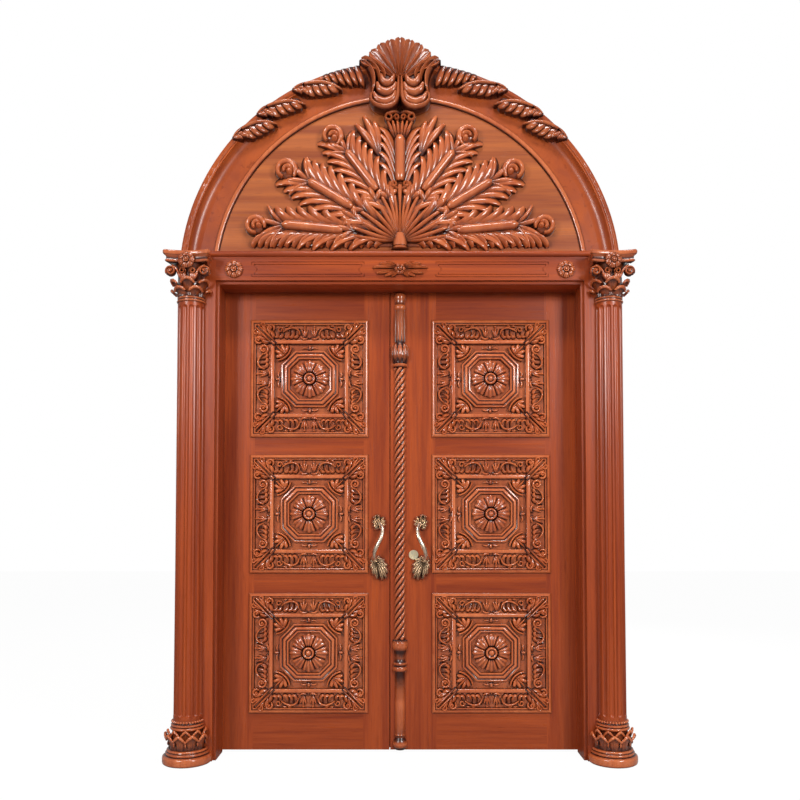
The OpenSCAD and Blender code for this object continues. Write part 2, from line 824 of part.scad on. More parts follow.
// Capital: a bell with two rows of curled leaves, corner volutes and a slab with hollow sides
bell_shares = [[0, 0.56], [0.03, 0.62], [0.06, 0.62], [0.075, 0.54], [0.2, 0.53], [0.6, 0.58], [0.76, 0.7]];
slab_share = 0.24;
slab_bite_share = 2.2;
slab_waist_share = 0.82;
low_leaves = 5;
high_leaves = 4;
// Leaves of each row: reach and height at the foot, the middle and the curled tip
low_leaf_shares = [[0.5, 0.1], [0.6, 0.22], [0.74, 0.34]];
high_leaf_shares = [[0.5, 0.3], [0.61, 0.43], [0.78, 0.56]];
capital_leaf_shares = [0.24, 0.22, 0.16];
capital_leaf_t_share = 0.1;

module capital_lump(at, w_share) {
    translate([capital_r * at[0], 0, capital_h * at[1]])
        scale([capital_leaf_t_share, w_share, capital_leaf_t_share])
            rotate([0, 0, 45]) sphere(r = capital_r, $fn = 4);
}

module capital_leaf(shares) {
    for (k = [0, 1]) hull() {
        capital_lump(shares[k], capital_leaf_shares[k]);
        capital_lump(shares[k + 1], capital_leaf_shares[k + 1]);
    }
}

module capital_slab() {
    translate([0, 0, capital_h * (1 - slab_share)]) linear_extrude(capital_h * slab_share) difference() {
        square(capital_r * 2, center = true);
        for (a = [0, 90, 180, 270]) rotate([0, 0, a])
            translate([capital_r * (slab_bite_share + slab_waist_share), 0])
                circle(r = capital_r * slab_bite_share, $fn = 60);
        for (a = [45, 135, 225, 315]) rotate([0, 0, a]) translate([capital_r * 1.33, -capital_r])
            square([capital_r, capital_r * 2]);
    }
}

module capital_side() {
    translate([column_x, column_y, cornice_z - capital_h]) half_round() {
        rotate_extrude($fn = 20) polygon(concat([[0, 0]],
            [for (s = bell_shares) [s[1] * capital_r, s[0] * capital_h]],
            [[0, capital_h * bell_shares[6][0]]]));
        capital_slab();
        for (k = [0 : low_leaves - 1]) rotate([0, 0, 180 + k * 180 / (low_leaves - 1)])
            capital_leaf(low_leaf_shares);
        for (k = [0 : high_leaves - 1]) rotate([0, 0, 180 + (k + 0.5) * 180 / high_leaves])
            capital_leaf(high_leaf_shares);
        for (a = [225, 315]) rotate([0, 0, a]) {
            translate([capital_r, 0, capital_h * 0.67]) rotate([90, 0, 0])
                cylinder(r = capital_h * 0.11, h = capital_r * 0.34, center = true, $fn = 12);
            hull() for (x = [0.5, 0.95]) translate([capital_r * x, 0, capital_h * 0.7])
                sphere(r = capital_r * 0.12, $fn = 6);
        }
        translate([0, -capital_r * 0.7, capital_h * 0.88]) rotate([90, 0, 0])
            cylinder(r1 = capital_r * 0.24, r2 = capital_r * 0.12, h = capital_r * 0.26, $fn = 10);
        for (x = [-1, 1]) translate([x * capital_r * 0.3, -capital_r * 0.45, capital_h * 0.68])
            rotate([90, 0, 0])
                cylinder(r1 = capital_r * 0.15, r2 = capital_r * 0.11, h = capital_r * 0.42, $fn = 8);
    }
}

module left_capital() {
    color(carved_mahogany) mirror([1, 0, 0]) capital_side();
}

module right_capital() {
    color(carved_mahogany) capital_side();
}

// Leaf joinery, drawn for the right leaf

module leaf_slab(from_x, to_x, from_z, to_z) {
    translate([from_x, leaf_y, from_z]) cube([to_x - from_x, leaf_t, to_z - from_z]);
}

// Mortises and panel grooves along a stile's inner edge
module stile_cuts(edge_x) {
    groove_rise = opening_rise + groove_d + slide_gap;
    mortise_l = tenon_l + slide_gap;
    for (s = rail_spans)
        translate([edge_x - mortise_l, leaf_mid_y - tenon_t / 2 - slide_gap,
            s[0] + tenon_shoulder - slide_gap])
            cube([mortise_l * 2, tenon_t + slide_gap * 2, s[1] - s[0] - (tenon_shoulder - slide_gap) * 2]);
    for (z = panel_zs) translate([edge_x - groove_d - slide_gap, groove_y - slide_gap, z - groove_rise])
        cube([(groove_d + slide_gap) * 2, groove_t + slide_gap * 2, groove_rise * 2]);
}

module hinge_stile_side() {
    difference() {
        leaf_slab(hinge_side_x, leaf_edge_x, floor_gap, leaf_top_z);
        stile_cuts(hinge_side_x);
    }
}

module left_hinge_stile() {
    color(mahogany) mirror([1, 0, 0]) hinge_stile_side();
}

module right_hinge_stile() {
    color(mahogany) hinge_stile_side();
}

module flush_bolt_bore(from_z, to_z) {
    translate([-flush_x, leaf_mid_y, from_z]) cylinder(r = flush_r + run_gap, h = to_z - from_z);
}

module left_meeting_stile() {
    color(mahogany) difference() {
        mirror([1, 0, 0]) difference() {
            leaf_slab(left_edge_x, meeting_side_x, floor_gap, leaf_top_z);
            stile_cuts(meeting_side_x);
        }
        flush_bolt_bore(leaf_top_z - flush_l, leaf_top_z + overrun);
        flush_bolt_bore(floor_gap - overrun, floor_gap + flush_l);
        strike_pocket();
        strike_slab(strike_t + overrun);
    }
}

module strike_slab(t) {
    translate([-left_edge_x - strike_t, leaf_mid_y - strike_w / 2, key_z - strike_h / 2])
        cube([t, strike_w, strike_h]);
}

module strike_pocket() {
    translate([-left_edge_x - strike_depth, leaf_mid_y - bolt_w / 2 - overrun,
        key_z - bolt_h / 2 - overrun])
        cube([strike_depth + overrun * 2, bolt_w + overrun * 2, bolt_h + overrun * 2]);
}

module strike_plate() {
    color(brass) difference() {
        strike_slab(strike_t);
        strike_pocket();
    }
}

module right_meeting_stile() {
    color(mahogany) difference() {
        leaf_slab(right_edge_x, meeting_side_x, floor_gap, leaf_top_z);
        stile_cuts(meeting_side_x);
        lock_pocket();
        translate([key_x, leaf_y - overrun, key_z]) rotate([-90, 0, 0])
            cylinder(r = cylinder_r + run_gap, h = leaf_t + overrun * 2);
    }
}

module rail_side(span) {
    leaf_slab(meeting_side_x, hinge_side_x, span[0], span[1]);
    tenon_h = span[1] - span[0] - tenon_shoulder * 2;
    translate([meeting_side_x - tenon_l, leaf_mid_y - tenon_t / 2, span[0] + tenon_shoulder])
        cube([hinge_side_x - meeting_side_x + tenon_l * 2, tenon_t, tenon_h]);
}

// A rail grooved for the panels over and under it
module rail(index) {
    groove_r = opening_r + groove_d + slide_gap;
    groove_rise = opening_rise + groove_d + slide_gap;
    difference() {
        rail_side(rail_spans[index]);
        for (z = panel_zs)
            translate([meeting_side_x - groove_d - slide_gap, groove_y - slide_gap, z - groove_rise])
                cube([groove_r * 2, groove_t + slide_gap * 2, groove_rise * 2]);
    }
}

module left_bottom_rail() {
    color(mahogany) mirror([1, 0, 0]) rail(0);
}

module left_lower_rail() {
    color(mahogany) mirror([1, 0, 0]) rail(1);
}

module left_upper_rail() {
    color(mahogany) mirror([1, 0, 0]) rail(2);
}

module left_top_rail() {
    color(mahogany) mirror([1, 0, 0]) rail(3);
}

module right_bottom_rail() {
    color(mahogany) rail(0);
}

module right_lower_rail() {
    color(mahogany) rail(1);
}

module right_upper_rail() {
    color(mahogany) rail(2);
}

module right_top_rail() {
    color(mahogany) rail(3);
}

// Carved panels

module octagon(r) {
    corner = r * 0.5;
    polygon([[r, corner], [corner, r], [-corner, r], [-r, corner],
        [-r, -corner], [-corner, -r], [corner, -r], [r, -corner]]);
}

// Scrolls along one half of a border, as shares of its width: root, bend, tip and width
border_shares = [
    [0.06, -0.34, 0.5, -0.2, 0.2, 0.4, 0.3], [0.3, 0.36, 1.05, 0.5, 0.95, -0.34, 0.3],
    [1.0, -0.36, 1.95, -0.5, 1.75, 0.34, 0.32]
];
corner_turns = [-26, 0, 26];
corner_leaf_share = 1.17;
bracket_turns = [-30, 0, 30];
bracket_share = 0.8;

module border_side() {
    mid = coffer_r + coffer_bead_w + border_w / 2;
    for (s = border_shares)
        blade([s[0] * border_w, mid + s[1] * border_w], [s[2] * border_w, mid + s[3] * border_w],
            [s[4] * border_w, mid + s[5] * border_w], s[6] * border_w, border_relief);
}

module corner_leaf() {
    inner = coffer_r + coffer_bead_w * 0.3;
    root = [inner, inner];
    for (a = corner_turns) {
        run = turned([1, 1] / sqrt(2), a) * border_w * corner_leaf_share * cos(a);
        lobe(root, root + run * 0.5, root + run, border_w * 0.3, border_relief * 1.25);
    }
}

module corner_bracket() {
    inner = coffer_r * bracket_share;
    for (a = bracket_turns) {
        run = turned([1, 1] / sqrt(2), a) * coffer_r * 0.23;
        lobe([inner, inner], [inner, inner] + run * 0.5, [inner, inner] + run, coffer_r * 0.12,
            octagon_level - coffer_level);
    }
}

module panel_plate(r, from_level, to_level) {
    rise = r + panel_extra;
    translate([-r, -rise, from_level]) cube([r * 2, rise * 2, to_level - from_level]);
}

// Drawn flat: the front of the leaf is level 0
module carved_panel() {
    tongue_r = opening_r + groove_d;
    tongue_level = leaf_y - groove_y - groove_t + slide_gap;
    panel_plate(tongue_r, tongue_level, tongue_level + groove_t - slide_gap * 2);
    difference() {
        union() {
            panel_plate(opening_r - slide_gap, panel_back_level, border_level);
            panel_plate(coffer_r + coffer_bead_w, panel_back_level, coffer_bead_level);
        }
        panel_plate(coffer_r, coffer_level, coffer_bead_level + overrun);
    }
    translate([0, 0, coffer_level]) scale([1, coffer_stretch, 1]) difference() {
        union() {
            linear_extrude(octagon_level - coffer_level) octagon(octagon_out_r);
            for (a = [0, 90, 180, 270]) rotate([0, 0, a]) corner_bracket();
        }
        translate([0, 0, octagon_step_level - coffer_level]) linear_extrude(border_w)
            octagon((octagon_out_r + octagon_in_r) / 2);
        linear_extrude(border_w) octagon(octagon_in_r);
    }
    for (a = [0, 180]) rotate([0, 0, a]) translate([0, panel_extra, border_level]) {
        both_sides() {
            border_side();
            corner_leaf();
        }
    }
    for (a = [90, 270]) scale([1, border_stretch, 1]) rotate([0, 0, a]) translate([0, 0, border_level])
        both_sides() border_side();
    for (a = [0, 90, 180, 270]) scale([1, coffer_stretch, 1]) rotate([0, 0, a])
        translate([0, (octagon_out_r + coffer_r) / 2, coffer_level])
            cylinder(r1 = coffer_r * 0.09, r2 = coffer_r * 0.05, h = octagon_level - coffer_level, $fn = 7);
}

module panel_at(side, z) {
    color(carved_mahogany) on_face(side * panel_x, leaf_y, z) carved_panel();
}

module left_lower_panel() {
    panel_at(-1, panel_zs[0]);
}

module left_middle_panel() {
    panel_at(-1, panel_zs[1]);
}

module left_upper_panel() {
    panel_at(-1, panel_zs[2]);
}

module right_lower_panel() {
    panel_at(1, panel_zs[0]);
}

module right_middle_panel() {
    panel_at(1, panel_zs[1]);
}

module right_upper_panel() {
    panel_at(1, panel_zs[2]);
}

// A square frame with a bevel that rises from its outer edge
module panel_moulding() {
    outer = panel_w / 2;
    inner = outer - moulding_w;
    edge_h = moulding_h * 0.45;
    difference() {
        hull() {
            panel_plate(outer, 0, edge_h);
            panel_plate(outer - moulding_w * 0.4, 0, moulding_h);
        }
        translate([0, 0, -overrun]) panel_plate(opening_r, 0, moulding_h + overrun * 2);
    }
    difference() {
        panel_plate(opening_r, border_level, moulding_h * 0.5);
        translate([0, 0, -overrun]) panel_plate(inner, border_level, moulding_h + overrun * 2);
    }
}

module mouldings_at(side) {
    color(mahogany) for (z = panel_zs) on_face(side * panel_x, leaf_y, z) panel_moulding();
}

module left_panel_mouldings() {
    mouldings_at(-1);
}

module right_panel_mouldings() {
    mouldings_at(1);
}

module rosettes_at(side) {
    color(carved_mahogany) for (z = panel_zs) on_face(side * panel_x, leaf_y - coffer_level, z)
        scale([1, coffer_stretch, 1]) flower(rosette_r, rosette_h, button_r);
}

module left_rosettes() {
    rosettes_at(-1);
}

module right_rosettes() {
    rosettes_at(1);
}

// Astragal: turned ends with a twisted middle, a half-round that covers the meeting line

// Height share of the length and radius share of the bulb, from the foot up
foot_turning_shares = [[0, 0.62], [0.006, 0.8], [0.013, 0.88], [0.02, 0.8], [0.026, 0.58], [0.031, 0.58],
    [0.034, 0.6], [0.168, 0.6], [0.17, 0.86], [0.175, 0.9], [0.18, 0.86], [0.182, 0.8], [0.187, 0.86],
    [0.19, 0.66], [0.212, 0.7], [0.218, 0.92], [0.228, 0.95], [0.234, 0.92], [0.238, 0.6]];
head_turning_shares = [[0.834, 0.6], [0.835, 0.94], [0.842, 0.96], [0.844, 0.7], [0.848, 0.84], [0.862, 1],
    [0.875, 0.94], [0.886, 0.66], [0.887, 0.6], [0.964, 0.6], [0.965, 0.64], [0.974, 0.64], [0.975, 0.58],
    [0.99, 0.68], [0.991, 0.64], [1, 0.64]];
bulb_leaves = 5;
// Leaves on the bulbs: height shares of the foot and the tip, and reach as a share of the bulb
bulb_leaf_shares = [[0.846, 0.8845, 0.92], [0.2365, 0.2135, 0.88]];

module turning(shares) {
    last = len(shares) - 1;
    translate([0, 0, astragal_foot_z]) rotate([0, 0, 180]) rotate_extrude(angle = 180, $fn = 16)
        polygon(concat(
            [[0, shares[0][0] * astragal_h]],
            [for (s = shares) [s[1] * bulb_r, s[0] * astragal_h]],
            [[0, shares[last][0] * astragal_h]]));
}

module bulb_leaf(foot_share, top_share, swell) {
    translate([0, 0, astragal_foot_z]) hull() {
        translate([bulb_r * 0.62, 0, foot_share * astragal_h]) sphere(r = bulb_r * 0.12, $fn = 4);
        translate([bulb_r * swell, 0, (foot_share * 0.55 + top_share * 0.45) * astragal_h])
            sphere(r = bulb_r * 0.13, $fn = 4);
        translate([bulb_r * 0.66, 0, top_share * astragal_h]) sphere(r = bulb_r * 0.06, $fn = 4);
    }
}

module rope() {
    length = rope_top_z - rope_foot_z + overrun * 2;
    turns = length / rope_lead;
    translate([0, 0, rope_foot_z - overrun]) linear_extrude(length, twist = -360 * turns,
        slices = ceil(turns * rope_slices), segments = strands * 2, $fn = strands * 2)
        rotate([0, 0, rope_phase])
        polygon([for (k = [0 : strands * 2 - 1])
            polar(k * 180 / strands, rope_r * (k % 2 == 0 ? 1 : strand_dip_share))]);
}

module astragal() {
    color(carved_mahogany) translate([0, leaf_y, 0]) {
        turning(foot_turning_shares);
        turning(head_turning_shares);
        intersection() {
            rope();
            translate([-bulb_r, -bulb_r * 2, 0]) cube([bulb_r * 2, bulb_r * 2, cornice_z]);
        }
        for (k = [0 : bulb_leaves - 1]) rotate([0, 0, 180 + (k + 0.5) * 180 / bulb_leaves]) {
            for (s = bulb_leaf_shares) bulb_leaf(s[0], s[1], s[2]);
        }
    }
}

// Fittings

// The grip's route as shares of the handle's height: across, up and out from the leaf
grip_shares = [[0.03, 0.3, 0.03], [0.055, 0.262, 0.09], [0.068, 0.21, 0.145], [0.05, 0.13, 0.172],
    [0.01, 0.05, 0.178], [-0.03, -0.035, 0.176], [-0.05, -0.11, 0.168], [-0.052, -0.17, 0.145],
    [-0.04, -0.215, 0.1], [-0.02, -0.25, 0.03]];
grip_swell_shares = [0.9, 0.8, 0.86, 0.98, 1, 1, 0.96, 0.9, 1, 1.15];
grip_sides = 8;
leaf_end_relief = 20;
// Leaf ends: turn, length and width of each finger, as degrees and shares of the handle's height
top_fingers = [[-68, 0.11], [-36, 0.15], [0, 0.17], [36, 0.15], [68, 0.11], [180, 0.08]];
bottom_fingers = [[112, 0.14], [138, 0.175], [162, 0.2], [198, 0.2], [222, 0.175], [248, 0.14], [0, 0.1]];
top_end_shares = [0.005, 0.325];
bottom_end_shares = [0, -0.305];

// A tube with flat ends along a route; its rings turn with the route in the upright plane
module grip_tube(route, radii) {
    last = len(route) - 1;
    rings = [for (i = [0 : last]) let (
        run = unit(route[min(i + 1, last)] - route[max(i - 1, 0)]),
        across = unit(cross(run, [0, 0, 1])),
        up = cross(across, run))
        for (k = [0 : grip_sides - 1]) route[i] + radii[i] * (across * cos(k * 360 / grip_sides)
            + up * sin(k * 360 / grip_sides))];
    polyhedron(rings, concat(
        [[for (k = [grip_sides - 1 : -1 : 0]) k]],
        [[for (k = [0 : grip_sides - 1]) last * grip_sides + k]],
        [for (i = [0 : last - 1], k = [0 : grip_sides - 1]) let (n = (k + 1) % grip_sides)
            each [[i * grip_sides + k, i * grip_sides + n, (i + 1) * grip_sides + n],
                [i * grip_sides + k, (i + 1) * grip_sides + n, (i + 1) * grip_sides + k]]]));
}

module leaf_end(at, fingers) {
    for (f = fingers) {
        run = polar(f[0], f[1] * handle_h);
        lobe(at, at + run * 0.5, at + run, handle_h * 0.085, leaf_end_relief);
    }
}

module pull_handle() {
    grip_tube([for (s = grip_shares) s * handle_h], [for (s = grip_swell_shares) s * grip_d / 2]);
    leaf_end(top_end_shares * handle_h, top_fingers);
    leaf_end(bottom_end_shares * handle_h, bottom_fingers);
}

module left_pull_handle() {
    color(bronze) on_face(-handle_x, leaf_y, handle_z) pull_handle();
}

module right_pull_handle() {
    color(bronze) on_face(handle_x, leaf_y, handle_z) mirror([1, 0, 0]) pull_handle();
}

module inner_pull(x) {
    bar_y = frame_back_y + pull_reach - pull_bar_r;
    translate([x, bar_y, handle_z - pull_l / 2]) cylinder(r = pull_bar_r, h = pull_l);
    for (side = [-1, 1]) translate([x, frame_back_y, handle_z + side * pull_l * pull_post_share]) {
        rotate([-90, 0, 0]) cylinder(r = pull_post_r, h = bar_y - frame_back_y);
        rotate([-90, 0, 0]) cylinder(r = pull_post_r * 2, h = pull_post_r / 2);
    }
}

module left_inner_pull() {
    color(bronze) inner_pull(-handle_x);
}

module right_inner_pull() {
    color(bronze) inner_pull(handle_x + turn_r);
}

// Lock

module lock_pocket() {
    translate([right_edge_x - overrun, leaf_mid_y - lock_case_t / 2 - slide_gap,
        key_z - lock_case_h / 2 - slide_gap])
        cube([lock_case_w + slide_gap + overrun, lock_case_t + slide_gap * 2, lock_case_h + slide_gap * 2]);
}

module lock_case() {
    color(steel) difference() {
        translate([right_edge_x, leaf_mid_y - lock_case_t / 2, key_z - lock_case_h / 2])
            cube([lock_case_w, lock_case_t, lock_case_h]);
        translate([right_edge_x - overrun, leaf_mid_y - bolt_w / 2 - slide_gap,
            key_z - bolt_h / 2 - slide_gap])
            cube([bolt_l + slide_gap + overrun, bolt_w + slide_gap * 2, bolt_h + slide_gap * 2]);
    }
}

module deadbolt() {
    color(brass) translate([right_edge_x, leaf_mid_y - bolt_w / 2, key_z - bolt_h / 2])
        cube([bolt_l, bolt_w, bolt_h]);
}

module cylinder_collar() {
    color(brass) translate([key_x, leaf_y, key_z]) rotate([-90, 0, 0]) difference() {
        union() {
            cylinder(r = cylinder_r, h = leaf_t);
            translate([0, 0, -collar_t]) cylinder(r = collar_d / 2, h = collar_t);
        }
        translate([0, 0, -collar_t - overrun])
            cylinder(r = plug_r + run_gap, h = leaf_t + collar_t + overrun * 2);
    }
}

// The plug with its key slot in front and the thumb turn on its inner end
module cylinder_plug() {
    color(brass) translate([key_x, leaf_y, key_z]) rotate([-90, 0, 0]) difference() {
        union() {
            translate([0, 0, -collar_t]) cylinder(r = plug_r, h = collar_t + leaf_t + stop_gap);
            translate([0, 0, leaf_t + stop_gap]) cylinder(r = turn_r, h = blade_t);
            translate([-turn_r, -blade_t / 2, leaf_t + stop_gap + blade_t])
                cube([turn_r * 2, blade_t, turn_t]);
        }
        rotate([0, 0, key_slot_turn]) translate([-plug_r * 0.7, -key_slot_w / 2, -collar_t - overrun])
            cube([plug_r * 1.4, key_slot_w, key_slot_depth + overrun]);
    }
}

module flush_bolt(from_z) {
    color(brass) translate([-flush_x, leaf_mid_y, from_z]) cylinder(r = flush_r, h = flush_l - flush_throw);
}

module top_flush_bolt() {
    flush_bolt(leaf_top_z - flush_l + flush_throw);
}

module bottom_flush_bolt() {
    flush_bolt(floor_gap);
}

// Hinges

knuckle_h = hinge_h / knuckles;
hinge_zs = [for (s = hinge_shares) floor_gap + leaf_h * s - hinge_h / 2];

// The knuckles of one plate: a plate beside the barrel and a tab to each of its knuckles
module hinge_half(plate_x, first) {
    difference() {
        union() {
            translate([plate_x, frame_back_y - plate_d, 0]) cube([plate_t, plate_d, hinge_h]);
            for (k = [first : 2 : knuckles - 1]) translate([0, 0, k * knuckle_h + knuckle_gap / 2]) {
                translate([plate_x, frame_back_y - overrun, 0])
                    cube([plate_t, pin_y - frame_back_y + overrun, knuckle_h - knuckle_gap]);
                translate([pin_x, pin_y, 0]) cylinder(r = barrel_r, h = knuckle_h - knuckle_gap);
            }
        }
        translate([pin_x, pin_y, -overrun]) cylinder(r = pin_r + run_gap, h = hinge_h + overrun * 2);
    }
}

module hinge_frame_plates() {
    color(brass) both_sides() for (z = hinge_zs) translate([0, 0, z]) hinge_half(rebate_x - plate_t, 0);
}

module hinge_leaf_side() {
    for (z = hinge_zs) translate([0, 0, z]) hinge_half(leaf_edge_x, 1);
}

module left_hinge_plates() {
    color(brass) mirror([1, 0, 0]) hinge_leaf_side();
}

module right_hinge_plates() {
    color(brass) hinge_leaf_side();
}

module hinge_pins() {
    color(steel) both_sides() for (z = hinge_zs) translate([pin_x, pin_y, z])
        cylinder(r = pin_r, h = hinge_h);
}

left_jamb();
right_jamb();
head_jamb();
left_pilaster();
right_pilaster();
left_column_base();
right_column_base();
left_column_shaft();
right_column_shaft();
left_capital();
right_capital();
frieze_board();
frieze_rosettes();
frieze_spray();
cornice();
arch_frame();
arch_bead();
tympanum();
arch_back_panel();
fan_carving();
arch_garlands();
crest();
hinge_frame_plates();
hinge_pins();
left_hinge_stile();
left_meeting_stile();
left_top_rail();
left_upper_rail();
left_lower_rail();
left_bottom_rail();
left_upper_panel();
left_middle_panel();
left_lower_panel();
left_panel_mouldings();
left_rosettes();
left_pull_handle();
left_inner_pull();
left_hinge_plates();
strike_plate();
right_hinge_stile();
right_meeting_stile();
right_top_rail();
right_upper_rail();
right_lower_rail();
right_bottom_rail();
right_upper_panel();
right_middle_panel();
right_lower_panel();
right_panel_mouldings();
right_rosettes();
right_pull_handle();
right_inner_pull();
right_hinge_plates();
astragal();
lock_case();
cylinder_collar();
cylinder_plug();
deadbolt();
top_flush_bolt();
bottom_flush_bolt();
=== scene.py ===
import math

import bmesh
import bpy
import numpy as np
from mathutils import Matrix


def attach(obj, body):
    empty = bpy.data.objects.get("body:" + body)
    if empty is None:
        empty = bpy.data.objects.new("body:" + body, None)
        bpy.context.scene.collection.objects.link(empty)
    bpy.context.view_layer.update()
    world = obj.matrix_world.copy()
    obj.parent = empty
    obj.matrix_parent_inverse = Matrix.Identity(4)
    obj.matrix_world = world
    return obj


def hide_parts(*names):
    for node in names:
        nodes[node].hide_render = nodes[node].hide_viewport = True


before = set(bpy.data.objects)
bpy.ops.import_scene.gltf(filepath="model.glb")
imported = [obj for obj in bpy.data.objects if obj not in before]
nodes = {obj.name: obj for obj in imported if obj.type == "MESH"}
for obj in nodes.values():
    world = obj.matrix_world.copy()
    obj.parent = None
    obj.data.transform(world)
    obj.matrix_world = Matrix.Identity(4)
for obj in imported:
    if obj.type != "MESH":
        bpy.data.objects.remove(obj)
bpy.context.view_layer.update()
scene = bpy.context.scene
scene.view_settings.view_transform = "Standard"
print("frame loaded with", len(nodes), "nodes")

# planes and places of the door in millimetres, as in the part's source
door = {
    "leafFront": 71.5, "boardFront": -73.5, "bandFront": -36.5, "fanFoot": 2263.0, "archCentre": 2122.0,
    "columnX": 924.0, "columnFront": -73.5, "capitalFoot": 2003.0, "friezeMiddle": 2160.3,
    "friezeRosette": 736.2, "panelX": 416.0, "panelZ": {"lower": 445.0, "middle": 1077.0, "upper": 1699.0},
    "astragalFoot": 12.0, "astragalHeight": 2082.0, "handleX": 98.0, "handleZ": 926.0,
}
doorSides = {"left": -1, "right": 1}


# relief carving

class Carving:
    # gathers closed shapes in a drawing: u across, v up and w out of the face
    def __init__(self):
        self.points, self.faces, self.lift, self.total = [], [], [], 0

    def add(self, points, faces, lift):
        points = np.asarray(points, float).reshape(-1, 3)
        self.points.append(points)
        self.lift.append(np.broadcast_to(np.asarray(lift, float), (len(points),)).copy())
        base = self.total
        self.faces.extend(tuple(k + base for k in f) for f in faces)
        self.total += len(points)

    def take(self, other, turn=0.0, shift=(0, 0, 0), mirror=False):
        p = np.concatenate(other.points)
        if mirror:
            p = p * (-1, 1, 1)
        c, s = math.cos(math.radians(turn)), math.sin(math.radians(turn))
        p = np.stack([p[:, 0] * c - p[:, 1] * s, p[:, 0] * s + p[:, 1] * c, p[:, 2]], 1) + shift
        self.add(p, other.faces, np.concatenate(other.lift))

    def lay(self, other, place):
        self.add(place(np.concatenate(other.points)), other.faces, np.concatenate(other.lift))

    def bothSides(self):
        whole = Carving()
        whole.take(self)
        whole.take(self, mirror=True)
        return whole


tubeCache = {}


def tubeFaces(rows, ring, closed=False):
    key = (rows, ring, closed)
    if key not in tubeCache:
        faces = []
        for i in range(rows if closed else rows - 1):
            n = (i + 1) % rows
            for j in range(ring):
                k = (j + 1) % ring
                faces.append((i * ring + j, n * ring + j, n * ring + k, i * ring + k))
        if not closed:
            faces.append(tuple(range(ring)))
            faces.append(tuple((rows - 1) * ring + j for j in reversed(range(ring))))
        tubeCache[key] = faces
    return tubeCache[key]


# cross sections of a carved lobe: place across, height and how free of painted shade it is; -1 is under the
# ground
halfSections = {
    "round": [(-1, -1, 0), (-1, .15, 0), (-.82, .64, .35), (-.45, .92, 1), (0, 1, 1)],
    "scoop": [(-1, -1, 0), (-1, .5, .1), (-.86, .95, 1), (-.62, .84, .9), (-.3, .62, .6), (0, .55, .5)],
    "vein": [(-1, -1, 0), (-1, .22, 0), (-.76, .74, .7), (-.36, 1, 1), (-.1, .88, .8), (0, .62, .1)],
}
sections = {name: np.array(p + [(-x, w, c) for x, w, c in p[-2::-1]]) for name, p in halfSections.items()}
sections["shingle"] = np.array([
    (-1, -1, 0), (-1, .08, 0), (-.7, .3, .2), (-.3, .55, .75), (.1, .82, 1), (.5, 1, 1), (.84, .94, 1),
    (1, .5, .1), (1, -1, 0)])
sections["shingleBack"] = sections["shingle"][::-1] * (-1, 1, 1)


def bezier(points, count):
    p = np.array(points, float)
    t = np.linspace(0, 1, count) if isinstance(count, int) else count
    n = len(p) - 1
    return sum((math.comb(n, k) * t ** k * (1 - t) ** (n - k))[:, None] * p[k] for k in range(n + 1))


def turnedBy(v, degrees):
    c, s = math.cos(math.radians(degrees)), math.sin(math.radians(degrees))
    return np.array([v[0] * c - v[1] * s, v[0] * s + v[1] * c])


def polar(degrees, r):
    return np.array([r * math.sin(math.radians(degrees)), r * math.cos(math.radians(degrees))])


def unit(rows):
    return rows / np.maximum(np.linalg.norm(rows, axis=1), 1e-9)[:, None]


# carves a section along a path; foot is the height of the ground, and sink the depth of the back under it
def sweepRelief(carving, path, half, height, section="round", foot=0.0, sink=3.0, unshaded=None):
    shape = sections[section]
    path = np.asarray(path, float)
    rows = len(path)
    run = unit(np.gradient(path, axis=0))
    side = np.stack([-run[:, 1], run[:, 0]], 1)
    half, height, foot = (np.broadcast_to(np.asarray(v, float), (rows,)) for v in (half, height, foot))
    flat = path[:, None, :] + side[:, None, :] * (half[:, None] * shape[None, :, 0])[:, :, None]
    above = foot[:, None] + height[:, None] * shape[None, :, 1]
    w = np.where(shape[None, :, 1] < 0, (foot - sink)[:, None], above)
    lift = np.broadcast_to(shape[None, :, 2], w.shape).copy()
    if unshaded is not None:
        lift *= np.asarray(unshaded, float)[:, None]
    if sink > 20:
        lift[:, [0, -1]] = .65  # a back that shows gets little painted shade
    carving.add(np.concatenate([flat, w[:, :, None]], 2), tubeFaces(rows, len(shape)), lift.reshape(-1))


# one lobe from its root past its bend to its tip, which is round when blunt
def lobe(carving, points, width, height, section="round", foot=0.0, tip=0.3, root=0.5, count=9, sink=3.0,
         blunt=False):
    t = np.linspace(0, 1, count)
    grow = np.interp(t, [0, .3, .58, .85, 1], [root, .85, 1, .78, tip])
    if blunt:
        t = 1 - (1 - t) ** 1.7
        end = np.maximum((t - .66) / .34, 0)
        grow = np.interp(t, [0, .3, .6, 1], [root, .85, 1, 1]) * np.sqrt(np.maximum(1 - end ** 2, .03))
    rise = np.interp(t, [0, .3, .65, .9, 1], [.6, .88, 1, .88, .5])
    # painted shade along the lobe, deepest at its root
    unshaded = np.interp(t, [0, .2, .5, 1], [.15, .5, .95, 1])
    sweepRelief(carving, bezier(points, t), width / 2 * grow, height * rise, section, foot, sink, unshaded)


# a curl that winds in from radius outer to inner
def curl(carving, centre, outer, inner, start, turn, width, height, foot=0.0, section="round", count=26):
    t = np.linspace(0, 1, count)
    a = np.radians(start + turn * t)
    r = outer + (inner - outer) * t ** .8
    path = np.stack([centre[0] + r * np.cos(a), centre[1] + r * np.sin(a)], 1)
    sweepRelief(carving, path, width / 2 * np.interp(t, [0, .15, .7, 1], [.45, 1, .9, .6]),
                height * np.interp(t, [0, .2, .8, 1], [.7, 1, 1.05, 1.1]), section, foot)


def ringPoints(r, a, w, centre=(0, 0)):
    return np.stack([centre[0] + r * np.cos(a), centre[1] + r * np.sin(a), np.broadcast_to(w, a.shape)], 1)
